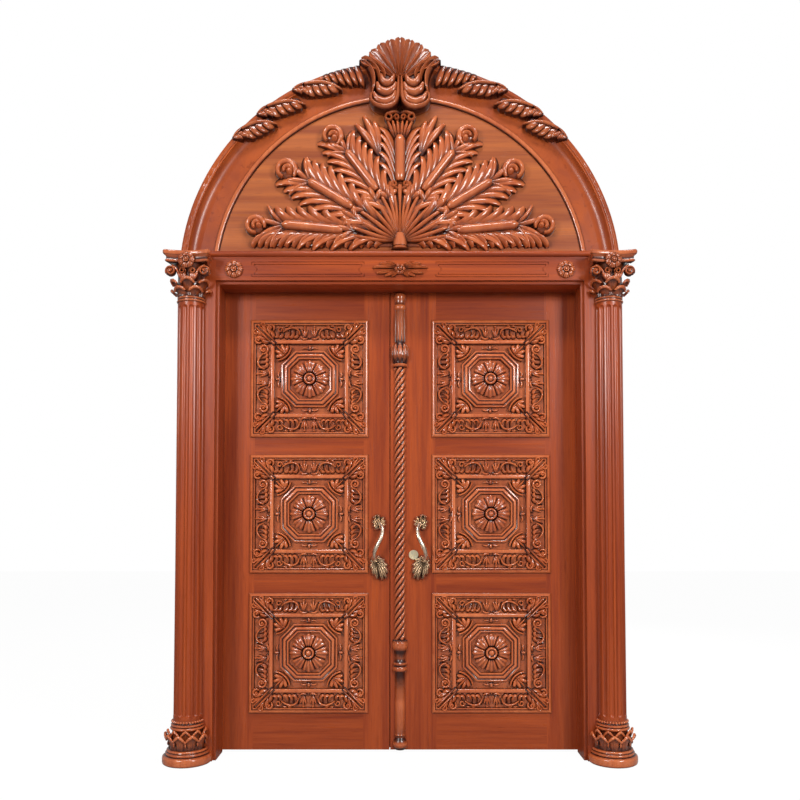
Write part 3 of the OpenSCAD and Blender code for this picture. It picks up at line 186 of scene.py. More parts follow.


# a dome with painted shade at its foot that fades towards the top; a lower lift gives it more painted shade
def dome(carving, centre, radius, height, foot=0.0, rings=6, spokes=20, lift=1.0):
    a = np.linspace(0, 2 * math.pi, spokes, endpoint=False)
    points, unshaded = [], []
    for k in range(rings):
        slope = math.pi / 2 * k / rings
        points.append(ringPoints(radius * math.cos(slope), a, foot + height * math.sin(slope), centre))
        unshaded.append(np.full(spokes, lift * min(1.0, .25 + k * .35)))
    low = points[0].copy()
    low[:, 2] = foot - 3
    points, unshaded = [low] + points, [np.zeros(spokes)] + unshaded
    carving.add(np.concatenate(points), tubeFaces(len(points), spokes), np.concatenate(unshaded))


# a raised frame around a square or an octagon: half size, height and how free of painted shade each line is
def frameRing(carving, outline, lines):
    points = [[(x * half, y * half, w) for half, w, unshaded in lines] for x, y in outline]
    lift = np.tile([unshaded for half, w, unshaded in lines], len(outline))
    carving.add(np.array(points), tubeFaces(len(outline), len(lines), closed=True), lift)


squareOutline = [(1, 1), (-1, 1), (-1, -1), (1, -1)]
octagonOutline = [(1, .52), (.52, 1), (-.52, 1), (-1, .52), (-1, -.52), (-.52, -1), (.52, -1), (1, -.52)]


def slab(carving, half, low, high, lift):
    carving.add([(x * half, y * half, z) for z in (low, high) for x, y in squareOutline],
                [(0, 3, 2, 1), (4, 5, 6, 7), (0, 1, 5, 4), (1, 2, 6, 5), (2, 3, 7, 6), (3, 0, 4, 7)], lift)


# a domed flower: petals with small side lobes, a deep ring and a button in a ring, with painted shade in the
# rings and along the petals' edges
def rosette(carving, radius, height, foot, petals=8, button=.31, centre=(0, 0), fine=14):
    spokes = petals * fine
    a = np.linspace(0, 2 * math.pi, spokes, endpoint=False)
    phase = ((a * petals / (2 * math.pi) + .5) % 1) - .5
    edge = np.abs(phase) * 2
    b = button
    stations = [(.02, 1.34, 1), (b * .22, 1.3, 1), (b * .4, 1.16, .9), (b * .5, .98, .1), (b * .6, 1.0, .3),
                (b * .72, 1.16, 1), (b * .84, 1.18, 1), (b * .95, 1.06, .8), (b, .7, .1), (b * 1.12, .52, 0)]
    points, unshaded = [], []
    for r, w, c in stations:
        points.append(ringPoints(radius * r, a, foot + height * w))
        unshaded.append(np.full(spokes, float(c)))
    for r in np.linspace(b * 1.2, 1, 13):
        q = (r - b * 1.2) / (1 - b * 1.2)
        outline = 1 - q * (.09 * edge ** 3 + .03 * (1 - np.cos(edge * math.pi * 2.4)))
        crown = 1.04 - .1 * (1 - q) ** 3 - .5 * q ** 2.4
        valley = .3 * edge ** 3.4 * np.interp(q, [0, .25, 1], [1.25, .85, .8])
        ribs = .055 * np.cos(phase * math.pi * 6) * np.interp(q, [0, .12, .6, 1], [.6, 1, .8, .4])
        w = foot + height * np.maximum(crown - valley * crown + ribs, .06)
        points.append(ringPoints(radius * r * outline, a, w))
        shade = np.clip(1.15 - edge ** 7, 0, 1) * np.interp(q, [0, .08, .2], [.3, .8, 1])
        unshaded.append(shade * (.72 + .28 * np.cos(phase * math.pi * 6)))
    last = points[-1].copy()
    last[:, 2] = foot - 3
    points.append(last)
    unshaded.append(np.zeros(spokes))
    p = np.concatenate(points) + (centre[0], centre[1], 0)
    carving.add(p, tubeFaces(len(points), spokes), np.concatenate(unshaded))


# a half round turning in front of a board: radius, height and how free of painted shade each line is
def halfTurning(carving, lines, spokes=33):
    a = np.linspace(-math.pi / 2, math.pi / 2, spokes)
    rows = [np.stack([r * np.sin(a), np.full(spokes, v), r * np.cos(a)], 1) for r, v, c in lines]
    unshaded = np.repeat([c for r, v, c in lines], spokes)
    carving.add(np.concatenate(rows), tubeFaces(len(lines), spokes), unshaded)


# a leaf that climbs a turning and rolls over at its tip; its route is height and reach; painted shade lies
# along its edges, its middle and its foot, and the back of its rolled tip is left unshaded and takes the
# painted highlight
def curledLeaf(carving, u, route, width, thick, crown=.22, arch=.36, count=13):
    route = bezier(route, count)
    run = unit(np.gradient(route, axis=0))
    t = np.linspace(0, 1, count)
    half = width / 2 * np.interp(t, [0, .3, .55, .72, .88, 1], [.62, .9, 1, .92, .66, .3])
    half = half * (1 + .09 * np.cos(t * math.pi * 7))
    across = np.array([-1, -.8, -.52, -.2, 0, .2, .52, .8, 1, 1, 0, -1])
    bulge = np.array([0, .55, .9, .8, .42, .8, .9, .55, 0, 0, 0, 0]) * width * crown
    bulge[9:] = -thick
    unshaded = np.array([.15, .75, 1, .8, .12, .8, 1, .75, .15, .1, .1, .1])
    shade = np.interp(t, [0, .25, .6, 1], [.25, .7, 1, 1])
    unshaded = np.tile(unshaded, (count, 1))
    unshaded[:, 9:] = np.interp(t, [.5, .72], [.1, 1])[:, None]
    points = np.zeros((count, 12, 3))
    points[:, :, 0] = u + half[:, None] * across
    points[:, :, 1] = route[:, :1] - run[:, 1:] * bulge
    points[:, :, 2] = route[:, 1:] + run[:, :1] * bulge
    points[:, :, 1] -= width * arch * across ** 2 * np.interp(t, [.15, .6], [0, 1])[:, None]
    carving.add(points, tubeFaces(count, 12), (shade[:, None] * unshaded).reshape(-1))


# a leaf that stands against a turning and rolls over at its upper edge; foot and tip are height and reach;
# painted shade lies along its edges, at its foot and under its tip
def crownLeaf(carving, u, foot, tip, width, drop, sharp, roll):
    t = np.linspace(0, 1, 12)[:, None]
    s = np.array([-1, -.72, -.4, -.12, 0, .12, .4, .72, 1])
    rib = np.array([0, .5, .8, .62, .95, .62, .8, .5, 0]) * width * .1 - width * .13 * s ** 2
    half = width / 2 * np.interp(t, [0, .4, .8, 1], [.78, .96, 1, .94])
    high = foot[0] + (tip[0] - foot[0]) * t - drop * np.abs(s) ** sharp * t ** 2
    reach = foot[1] + (tip[1] - foot[1]) * t ** 2.2 + rib
    front = np.stack([u + half * s, high, reach], 2)
    back = front[:, [8, 4, 0]] - (0, 0, 5)
    unshaded = np.array([.4, .85, 1, .8, 1, .8, 1, .85, .4, 0, 0, 0])
    unshaded = np.interp(t, [0, .4, .75, 1], [.3, .66, .5, .15]) * unshaded
    carving.add(np.concatenate([front, back], 1), tubeFaces(12, 12), unshaded.reshape(-1))
    s = np.linspace(-1, 1, 19)
    high, reach = tip[0] - drop * np.abs(s) ** sharp, tip[1] + roll * .4 - width * .16 * s ** 2
    lip = np.stack([u + width * .48 * s, high, reach], 1)
    bar(carving, lip, roll * (1 - .45 * s ** 2) * (1 + .13 * np.cos(s * math.pi * 6)), 10)


# wraps a drawing around a turning: u is measured on the radius that the look calls around
def aroundPost(x, y, z, look):
    def place(p):
        a = p[:, 0] / look["around"]
        r = np.interp(p[:, 1], look["heights"], look["radii"]) + p[:, 2]
        return np.stack([x + r * np.sin(a), y - r * np.cos(a), z + p[:, 1]], 1)
    return place


# a round bar along a route in space, with ridges along it
def bar(carving, route, radii, sides=12, ridges=0, depth=.12):
    route = np.asarray(route, float)
    run = unit(np.gradient(route, axis=0))
    side = unit(np.cross(run, (0, 0, 1.0)))
    up = np.cross(side, run)
    a = np.linspace(0, 2 * math.pi, sides, endpoint=False)
    wave = np.cos(a * ridges) if ridges else np.ones(sides)
    r = np.asarray(radii, float)[:, None] * (1 + depth * (wave - 1) / 2)
    points = route[:, None, :] + r[:, :, None] * (np.cos(a)[None, :, None] * side[:, None, :]
                                                  + np.sin(a)[None, :, None] * up[:, None, :])
    lift = np.broadcast_to(.8 + .2 * wave, r.shape)
    carving.add(points, tubeFaces(len(route), sides), lift.reshape(-1))


# points at even steps along a route, with its corners eased
def smoothRoute(points, count):
    p = np.asarray(points, float)
    step = np.concatenate([[0], np.cumsum(np.linalg.norm(np.diff(p, axis=0), axis=1))])
    fine = np.linspace(0, step[-1], count)
    out = np.stack([np.interp(fine, step, p[:, k]) for k in range(p.shape[1])], 1)
    for _ in range(3):
        out[1:-1] = (out[:-2] + out[1:-1] * 2 + out[2:]) / 4
    return out


# shared finishes

def newGroup(name, inputs, outputs):
    group = bpy.data.node_groups.new(name, "ShaderNodeTree")
    for label, kind, value in inputs:
        socket = group.interface.new_socket(label, in_out="INPUT", socket_type=kind)
        if value is not None:
            socket.default_value = value
    for label, kind in outputs:
        group.interface.new_socket(label, in_out="OUTPUT", socket_type=kind)
    return group, group.nodes.new("NodeGroupInput"), group.nodes.new("NodeGroupOutput")


# sets a socket to a plain value, or links another node's output to it
def feed(tree, socket, value):
    if isinstance(value, (int, float, tuple)):
        socket.default_value = value
    else:
        tree.links.new(value, socket)


def mathNode(tree, kind, a, b):
    node = tree.nodes.new("ShaderNodeMath")
    node.operation = kind
    feed(tree, node.inputs[0], a)
    feed(tree, node.inputs[1], b)
    return node.outputs[0]


def rangeNode(tree, value, low, high, toLow=0.0, toHigh=1.0):
    node = tree.nodes.new("ShaderNodeMapRange")
    node.interpolation_type = "SMOOTHSTEP"
    tree.links.new(value, node.inputs["Value"])
    for label, v in (("From Min", low), ("From Max", high), ("To Min", toLow), ("To Max", toHigh)):
        node.inputs[label].default_value = v
    return node.outputs["Result"]


def mixColour(tree, factor, a, b, blend="MIX"):
    node = tree.nodes.new("ShaderNodeMix")
    node.data_type, node.blend_type = "RGBA", blend
    for index, value in ((0, factor), (6, a), (7, b)):  # 6 and 7 are the two colours
        feed(tree, node.inputs[index], value)
    return node.outputs[2]


def noiseNode(tree, vector, scale, detail=4.0, rough=.55, distortion=0.0):
    node = tree.nodes.new("ShaderNodeTexNoise")
    tree.links.new(vector, node.inputs["Vector"])
    for label, v in (("Scale", scale), ("Detail", detail), ("Roughness", rough), ("Distortion", distortion)):
        node.inputs[label].default_value = v
    return node.outputs["Fac"]


# mahogany grain: broad figure, fine fibres and short dark pores along the stretched axis
def buildGrain():
    group, gin, gout = newGroup("mahoganyGrain", [
        ("Vector", "NodeSocketVector", None), ("Pale", "NodeSocketColor", (.4, .1, .03, 1)),
        ("Deep", "NodeSocketColor", (.2, .03, .01, 1)), ("Figure", "NodeSocketFloat", .6)],
        [("Color", "NodeSocketColor"), ("Height", "NodeSocketFloat"), ("Roughness", "NodeSocketFloat")])
    vector = gin.outputs["Vector"]
    broad = rangeNode(group, noiseNode(group, vector, .16, 3, .5, 1.2), .3, .7)
    fibre = rangeNode(group, noiseNode(group, vector, 1.0, 5, .62, .4), .28, .72)
    pores = rangeNode(group, noiseNode(group, vector, 4.5, 2, .5), .62, .74)
    figure = gin.outputs["Figure"]
    tone = mathNode(group, "ADD", mathNode(group, "MULTIPLY", broad, figure),
                    mathNode(group, "MULTIPLY", fibre, mathNode(group, "SUBTRACT", 1.0, figure)))
    colour = mixColour(group, tone, gin.outputs["Deep"], gin.outputs["Pale"])
    dark = mixColour(group, 1.0, colour, (.55, .45, .4, 1), "MULTIPLY")
    colour = mixColour(group, mathNode(group, "MULTIPLY", pores, .55), colour, dark)
    group.links.new(colour, gout.inputs["Color"])
    height = mathNode(group, "SUBTRACT", mathNode(group, "MULTIPLY", fibre, .6), pores)
    group.links.new(height, gout.inputs["Height"])
    group.links.new(rangeNode(group, fibre, 0, 1, .36, .27), gout.inputs["Roughness"])
    return group


# painted shade in the hollows and a painted highlight on the ridges: Lift is 0 in a hollow and 1 on a ridge
def buildHollowShade():
    group, gin, gout = newGroup("paintedHollowShade", [
        ("Color", "NodeSocketColor", None), ("Dark", "NodeSocketColor", (.05, .006, .003, 1)),
        ("Lift", "NodeSocketFloat", 1.0), ("Vector", "NodeSocketVector", None)],
        [("Color", "NodeSocketColor"), ("Mask", "NodeSocketFloat")])
    colour, lift = gin.outputs["Color"], gin.outputs["Lift"]
    patchy = mathNode(group, "SUBTRACT", noiseNode(group, gin.outputs["Vector"], 60, 3), .5)
    mask = rangeNode(group, mathNode(group, "ADD", lift, mathNode(group, "MULTIPLY", patchy, .35)), .16, .8)
    # painted highlight: where lift is .8 to 1 the colour is made paler
    ridgeHighlight = mixColour(group, rangeNode(group, lift, .8, 1.0, 0, .85), colour,
                     mixColour(group, 1.0, colour, (1.35, 1.5, 1.65, 1), "MULTIPLY"))
    group.links.new(mixColour(group, mask, gin.outputs["Dark"], ridgeHighlight), gout.inputs["Color"])
    group.links.new(mask, gout.inputs["Mask"])
    return group


grainGroup, hollowShadeGroup = buildGrain(), buildHollowShade()


def newMaterial(name):
    material = bpy.data.materials.new(name)
    material.use_nodes = True
    tree = material.node_tree
    return material, tree, tree.nodes["Principled BSDF"]


def objectVector(tree, scale=(1, 1, 1), location=(0, 0, 0)):
    coords = tree.nodes.new("ShaderNodeTexCoord")
    mapping = tree.nodes.new("ShaderNodeMapping")
    mapping.inputs["Scale"].default_value = scale
    mapping.inputs["Location"].default_value = location
    tree.links.new(coords.outputs["Object"], mapping.inputs["Vector"])
    return mapping.outputs["Vector"]


def useGroup(tree, group, **values):
    node = tree.nodes.new("ShaderNodeGroup")
    node.node_tree = group
    for label, value in values.items():
        feed(tree, node.inputs[label], value)
    return node


def liftOf(tree):
    node = tree.nodes.new("ShaderNodeAttribute")
    node.attribute_name = "lift"
    return node.outputs["Fac"]


def addBump(tree, shader, height, strength, distance):
    bump = tree.nodes.new("ShaderNodeBump")
    bump.inputs["Strength"].default_value = strength
    bump.inputs["Distance"].default_value = distance
    tree.links.new(height, bump.inputs["Height"])
    tree.links.new(bump.outputs["Normal"], shader.inputs["Normal"])


# the third colour is the painted shade for the hollows of carved wood
woodLook = {
    "pale": (.48, .086, .018, 1), "deep": (.23, .029, .007, 1), "hollowShade": (.035, .0035, .0012, 1),
    "carvedPale": (.58, .145, .044, 1), "carvedDeep": (.38, .070, .020, 1),
}


def varnish(shader, coat, roughness):
    shader.inputs["Coat Weight"].default_value = coat
    shader.inputs["Coat Roughness"].default_value = roughness
    shader.inputs["Specular IOR Level"].default_value = .3


# a board whose grain is drawn out along the axes with a small scale
def boardWood(name, scale, shade=(1, 1, 1), figure=.55, location=(0, 0, 0)):
    material, tree, shader = newMaterial(name)
    vector = objectVector(tree, scale, location)
    pale = tuple(np.multiply(woodLook["pale"][:3], shade)) + (1,)
    deep = tuple(np.multiply(woodLook["deep"][:3], shade)) + (1,)
    grain = useGroup(tree, grainGroup, Vector=vector, Pale=pale, Deep=deep, Figure=figure)
    tree.links.new(grain.outputs["Color"], shader.inputs["Base Color"])
    tree.links.new(grain.outputs["Roughness"], shader.inputs["Roughness"])
    addBump(tree, shader, grain.outputs["Height"], .25, .0006)
    varnish(shader, .22, .2)
    return material


# carved wood: grain under painted shade in the hollows and a painted highlight on the ridges
def carvedWood(name, scale, shade=1.0, coat=.75, coatRoughness=.18):
    material, tree, shader = newMaterial(name)
    vector = objectVector(tree, scale)
    pale = tuple(c * shade for c in woodLook["carvedPale"][:3]) + (1,)
    deep = tuple(c * shade for c in woodLook["carvedDeep"][:3]) + (1,)
    grain = useGroup(tree, grainGroup, Vector=vector, Pale=pale, Deep=deep, Figure=.5)
    hollowShade = useGroup(tree, hollowShadeGroup, Color=grain.outputs["Color"], Dark=woodLook["hollowShade"],
                     Lift=liftOf(tree), Vector=objectVector(tree))
    tree.links.new(hollowShade.outputs["Color"], shader.inputs["Base Color"])
    tree.links.new(rangeNode(tree, hollowShade.outputs["Mask"], 0, 1, .45, .2), shader.inputs["Roughness"])
    addBump(tree, shader, grain.outputs["Height"], .12, .0004)
    varnish(shader, coat, coatRoughness)
    return material


upright, across = (70, 70, 2.6), (2.6, 70, 70)
uprightWood = boardWood("uprightMahogany", upright)
acrossWood = boardWood("acrossMahogany", across, (.96, .96, .96))
jambWood = boardWood("jambMahogany", upright, (.84, .84, .84), .5, (3.1, 1.7, 0))
archWood = boardWood("archMahogany", (9, 70, 9), (.96, 1.08, 1.0))
# the field's paler, less red colour is partly its own tone and partly a painted sheen
fieldWood = boardWood("fieldMahogany", across, (1.02, 1.6, 2.1), .6, (0, 2.3, 1.1))
carvedUpright = carvedWood("carvedMahogany", (40, 40, 5))
fanWood = carvedWood("fanMahogany", (40, 40, 5), .84)
rimWood = carvedWood("rimMahogany", (40, 40, 5), .66, .55)
mouldWood = carvedWood("mouldedMahogany", (20, 20, 20), .95, .3, .26)


# metal that is dark in the hollows by the share of wear, and patchy for the rest
def metal(name, colour, dark, roughness, wear, scale):
    material, tree, shader = newMaterial(name)
    patch = rangeNode(tree, noiseNode(tree, objectVector(tree), scale, 5, .6), .3, .7)
    mask = rangeNode(tree, mathNode(tree, "ADD", mathNode(tree, "MULTIPLY", liftOf(tree), wear),
                                    mathNode(tree, "MULTIPLY", patch, 1 - wear)), .15, .85)
    tree.links.new(mixColour(tree, mask, dark, colour), shader.inputs["Base Color"])
    tree.links.new(rangeNode(tree, patch, 0, 1, roughness * 1.3, roughness * .8), shader.inputs["Roughness"])
    shader.inputs["Metallic"].default_value = 1.0
    addBump(tree, shader, patch, .08, .0004)
    return material


bronzeMetal = metal("antiqueBronze", (.83, .68, .53, 1), (.06, .036, .02, 1), .3, .85, 120)
brassMetal = metal("paleBrass", (.98, .88, .64, 1), (.86, .72, .46, 1), .38, .0, 90)
steelMetal = metal("brushedSteel", (.6, .6, .58, 1), (.42, .42, .41, 1), .3, .0, 150)
print("finishes made:", len(bpy.data.materials))


# how free of painted shade each point is on wood, and of dark patina on bronze
def setLift(mesh, values):
    lift = mesh.attributes.new("lift", "FLOAT", "POINT")
    lift.data.foreach_set("value", np.asarray(values, np.float32))


def meshPoints(mesh):
    flat = np.zeros(len(mesh.vertices) * 3, np.float32)
    mesh.vertices.foreach_get("co", flat)
    return flat.reshape(-1, 3).astype(float)


# makes a plain mesh object at the origin from a carving and the place of its drawing on the door
def carvedPiece(name, carving, place, standsFor, material=carvedUpright, body="frame",
                smooth=50):
    points = np.concatenate(carving.points)
    if place is not None:
        points = place(points)
    mesh = bpy.data.meshes.new(name)
    mesh.from_pydata((points * .001).tolist(), [], carving.faces)
    setLift(mesh, np.concatenate(carving.lift))
    finishPiece(name, mesh, standsFor, material, body, smooth)


def finishPiece(name, mesh, standsFor=(), material=carvedUpright, body="frame",
                smooth=40):
    work = bmesh.new()
    work.from_mesh(mesh)
    bmesh.ops.recalc_face_normals(work, faces=work.faces)
    work.to_mesh(mesh)
    work.free()
    mesh.materials.clear()
    mesh.materials.append(material)
    mesh.shade_smooth()
    mesh.set_sharp_from_angle(angle=math.radians(smooth))
    piece = bpy.data.objects.new(name, mesh)
    scene.collection.objects.link(piece)
    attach(piece, body)
    if standsFor:
        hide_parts(*standsFor)


# lays a drawing on an upright face that looks to the front, mirrored when flip is set
def onFace(x, y, z, flip=False):
    sign = -1 if flip else 1
    return lambda p: np.stack([x + sign * p[:, 0], y - p[:, 2], z + p[:, 1]], 1)


# boards that keep their CAD shape
boardFinish = {
    uprightWood: [f"{side}_{board}" for side in doorSides
                  for board in ("hinge_stile", "meeting_stile", "pilaster", "column_shaft")],
    acrossWood: ["head_jamb", "frieze_board", "cornice"] + [
        f"{side}_{rail}_rail" for side in doorSides for rail in ("top", "upper", "lower", "bottom")],
    jambWood: ["left_jamb", "right_jamb"],
    archWood: ["arch_frame"],
    fieldWood: ["tympanum", "arch_back_panel"],
    brassMetal: ["hinge_frame_plates", "left_hinge_plates", "right_hinge_plates", "strike_plate",
                 "cylinder_collar", "cylinder_plug", "deadbolt", "top_flush_bolt", "bottom_flush_bolt"],
    steelMetal: ["hinge_pins", "lock_case"],
    bronzeMetal: ["left_inner_pull", "right_inner_pull"],
}
for material, names in boardFinish.items():
    for name in names:
        nodes[name].data.materials.clear()
        nodes[name].data.materials.append(material)
print("boards finished")

# carved panels of the leaves

panelLook = {
    "opening": 249.7, "coffer": 172, "ground": -3, "floor": -17, "back": -38, "relief": 17,
    "square": [(180, -6, .1), (180, 2, .35), (178, 5.5, .95), (174, 7, 1), (168, 7, 1), (164, 5.5, .95),
               (162, 2, .5), (161, -20, .05)],
    "octagon": [(133, -20, .05), (132, -9, .4), (129, -4, .9), (125, -3, 1), (121, -7, .15), (118, -8, .2),
                (115, -3, .9), (111, -1, 1), (106, -1, 1), (103, -5, .15), (100, -5, .3), (97, -2, 1),
                (93, -3, .9), (90, -9, .3), (88, -20, 0)],
    "budTips": [((9, 228), 12), ((22, 236), 13), ((36, 228), 12)],
    "runFingers": ((58, 17), (79, 17), (100, 16)), "runEnd": ((128, 16), (147, 15)),
    "runStem": [(44, 202), (50, 246), (96, 240), (122, 214)], "runCurl": (134, 225),
    "climbFingers": ((58, 18), (80, 18), (102, 16)),
    "climbStem": [(44, 206), (52, 248), (92, 244), (112, 214)], "climbRing": (136, 211),
    "cornerRod": (158, 200, 246), "cornerCurl": (236, 178), "cornerTip": (248, 216),
    "cornerLeaf": [((182, 168), (204, 160), (222, 176), 22), ((196, 178), (222, 178), (246, 194), 24),
                   ((210, 192), (234, 200), (252, 220), 22)],
    "cofferRoot": 114.0, "cofferFingers": ((-58, 44), (-24, 50), (24, 50), (58, 44)),
    "hoopCentre": 160, "hoops": ((76, 5.5, 24), (62, 4.5, 20)),
    "flower": 87, "flowerRise": 26,
}


def panelBud(carving, ground, rise):
    for tip, width in panelLook["budTips"]:
        lobe(carving, [(22, 186), ((22 + tip[0]) / 2, 208), tip], width, rise, foot=ground, tip=.7)
    lobe(carving, [(4, 190), (20, 174), (40, 190)], 14, rise * 1.1, foot=ground, tip=.6, root=.6)
    dome(carving, (22, 240), 6, rise * .9, ground, rings=4, spokes=12)


# a row of fingers with rounded ends that hang from a running stem
def panelFingers(carving, ground, rise, places, low, high, lean):
    for x, width in places:
        route = [(x - lean, high), (x - lean * .9, low + 6), (x + 6, low - 5), (x + 17, low + 9)]
        lobe(carving, route, width, rise, "shingle", ground, root=.45, count=12, blunt=True)


def panelStem(carving, ground, rise, route):
    t = np.linspace(0, 1, 18)
    half = 6 * np.interp(t, [0, .2, .8, 1], [.6, 1, 1, .5])
    sweepRelief(carving, bezier(route, 18), half, rise, foot=ground)


# half of a border on the upper or lower side, from its middle to the corner
def panelRun(carving, ground, rise):
    panelBud(carving, ground, rise)
    panelFingers(carving, ground, rise, panelLook["runFingers"], 186, 232, 12)
    panelFingers(carving, ground, rise * .95, panelLook["runEnd"], 188, 220, 10)
    panelStem(carving, ground, rise * 1.12, panelLook["runStem"])
    curl(carving, panelLook["runCurl"], 14, 5, 200, -420, 10, rise * 1.1, ground)
    for x in (70, 92):
        lobe(carving, [(x, 238), (x + 12, 247), (x + 24, 238)], 10, rise * .9, foot=ground)


# half of a border on a side, with its ring
def panelClimb(carving, ground, rise):
    panelBud(carving, ground, rise)
    panelFingers(carving, ground, rise, panelLook["climbFingers"], 190, 236, 14)
    panelStem(carving, ground, rise * 1.1, panelLook["climbStem"])
    curl(carving, panelLook["climbRing"], 23, 9, 160, 470, 14, rise * 1.1, ground)
    dome(carving, panelLook["climbRing"], 8, rise * 1.2, ground)


# two rods on the mitre, with a leaf and two curls on each side of them
def panelCorner(carving, ground, rise):
    for off in (-8, 8):
        shift = off * math.sqrt(.5)
        route = [(m - shift, m + shift) for m in panelLook["cornerRod"]]
        lobe(carving, route, 14, rise * 1.45, foot=ground, tip=.6, root=.8)
    side = Carving()
    for root, bend, tip, width in panelLook["cornerLeaf"]:
        lobe(side, [root, bend, tip], width, rise * 1.3, "shingle", ground, tip=.7)
    curl(side, panelLook["cornerCurl"], 18, 7, 215, 330, 14, rise * 1.45, ground)
    dome(side, panelLook["cornerCurl"], 8, rise * 1.5, ground, rings=4, spokes=12)
    curl(side, panelLook["cornerTip"], 13, 5, 215, 300, 11, rise * 1.4, ground)
    carving.lay(side, np.asarray)
    carving.lay(side, lambda p: p[:, [1, 0, 2]])  # mirrored at the mitre


def cofferCorner(carving, floor):
    root = np.array([panelLook["cofferRoot"]] * 2)
    for a, reach in panelLook["cofferFingers"]:
        run = turnedBy((math.sqrt(.5), math.sqrt(.5)), a)
        route = [root, root + turnedBy(run, a * .2) * reach * .5, root + run * reach]
        lobe(carving, route, 24, 21, foot=floor, tip=.6, root=.7)
    lobe(carving, [(104, 104), (130, 130), (154, 154)], 11, 27, foot=floor, tip=.6, root=.9)
    # two hoops around the corner leaf
    centre, a = panelLook["hoopCentre"], np.radians(np.linspace(190, 260, 14))
    for radius, half, rise in panelLook["hoops"]:
        route = np.stack([centre + radius * np.cos(a), centre + radius * np.sin(a)], 1)
        sweepRelief(carving, route, half, rise, foot=floor)


def trefoil(carving, floor):
    lobe(carving, [(0, 134), (0, 144), (0, 158)], 17, 12, foot=floor)
    for s in (-1, 1):
        lobe(carving, [(s * 4, 136), (s * 16, 154), (s * 38, 140)], 13, 11, foot=floor)


def carvePanel():
    panel, look = Carving(), panelLook
    opening, coffer, ground, floor, back = (look[k] for k in ("opening", "coffer", "ground", "floor", "back"))
    frameRing(panel, squareOutline, [(opening, back, .8), (opening, ground, .7), (coffer, ground, .75),
                                     (coffer, back, .8)])
    slab(panel, coffer + 2, back + .2, floor, .8)  # its back is clear of the ring's back
    frameRing(panel, squareOutline, look["square"])
    frameRing(panel, octagonOutline, look["octagon"])
    quarter, halfRun, halfClimb = Carving(), Carving(), Carving()
    cofferCorner(quarter, floor)
    trefoil(quarter, floor)
    panelCorner(quarter, ground, look["relief"] * .85)
    panelRun(halfRun, ground, look["relief"] * .9)
    panelClimb(halfClimb, ground, look["relief"] * .9)
    for n, half in enumerate((halfRun, halfClimb, halfRun, halfClimb)):
        panel.take(quarter, n * 90)
        panel.take(half.bothSides(), n * 90)
    return panel


mouldLook = {
    "outer": 271,
    "lines": [(1.0, -1, .0), (1.0, 5, .25), (.992, 6.5, .9), (.976, 11.5, 1), (.962, 13, 1), (.95, 12, .9),
              (.944, 8, .15), (.936, 7.5, .4), (.926, 9, 1), (.915, 7, .8), (.905, 2, .15), (.9, -3, 0),
              (.9, -5, 0)],
}

panelShape, mouldShape, flowerShape = carvePanel(), Carving(), Carving()
mouldLines = [(share * mouldLook["outer"], w, unshaded) for share, w, unshaded in mouldLook["lines"]]
frameRing(mouldShape, squareOutline, mouldLines)
rosette(flowerShape, panelLook["flower"], panelLook["flowerRise"], panelLook["floor"])
for side, sign in doorSides.items():
    body, x = side + "_leaf", sign * door["panelX"]
    moulds, flowers = Carving(), Carving()
    for row, z in door["panelZ"].items():
        carvedPiece(f"{side}{row.title()}PanelCarving", panelShape, onFace(x, door["leafFront"], z),
                    [f"{side}_{row}_panel"], body=body, smooth=40)
        moulds.take(mouldShape, shift=(0, z, 0))
        flowers.take(flowerShape, shift=(0, z, 0))
    onLeaf = onFace(x, door["leafFront"], 0)
    carvedPiece(f"{side}PanelMouldings", moulds, onLeaf, [f"{side}_panel_mouldings"], mouldWood, body,
                25)
    carvedPiece(f"{side}PanelRosettes", flowers, onLeaf, [f"{side}_rosettes"], body=body, smooth=60)
print("panels carved:", panelShape.total, "points each")

# fan in the tympanum

fanLook = {
    "relief": 38, "feathers": 7, "lengths": (166, 180, 158),
    "rods": [((105, 262), (240, 440), 24), ((214, 184), (410, 304), 25), ((256, 80), (528, 106), 26)],
    "curls": [(304, 508, 58), (510, 352, 60), (646, 100, 56)],
    "hooks": [(5, .42), (20, .42), (64, .42)],
    "shaft": 28, "shaftFoot": 304, "shaftLength": 205, "shaftRise": 43,
    "shaftFeathers": ((262, 150), (298, 168), (336, 178), (374, 176), (412, 164)),
    "spray": (((138, 500), (200, 566), 42), ((92, 520), (120, 580), 40), ((112, 510), (164, 602), 44)),
    "ribs": (((24, 246), (8, 120), 19), ((54, 250), (16, 130), 23), ((86, 244), (26, 130), 25),
             ((118, 228), (38, 120), 26), ((150, 204), (52, 106), 26), ((182, 172), (68, 86), 26),
             ((206, 136), (84, 64), 26), ((222, 98), (96, 44), 25), ((232, 62), (104, 26), 22)),
    "ribLeaves": (((50, 222), 82, 66), ((106, 208), 62, 74), ((156, 172), 45, 78), ((194, 128), 30, 78),
                  ((212, 78), 13, 78)),
    "hem": (13, 190, 30.5), "innerHem": (6, 40, 33),  # count, first place and step
    "crown": (-48, -29, -10, 10, 29, 48),
    # place, outer and inner radius, start, turn, width and height
    "middleCurls": ((48, 590, 22, 8, 40, -400, 15, 42), (16, 588, 15, 5, -90, 380, 11, 40),
                    (30, 284, 17, 6, -20, 340, 14, 42)),
    "vase": ((40, -1, 13, 38), (38, 9, 50, 46), (30, 40, 64, 42)),
    "ground": [(0, 8), (585, 12), (590, 44), (480, 100), (400, 140), (430, 214), (360, 236), (300, 290),
               (280, 350), (190, 400), (150, 440), (70, 520), (0, 540)],
}


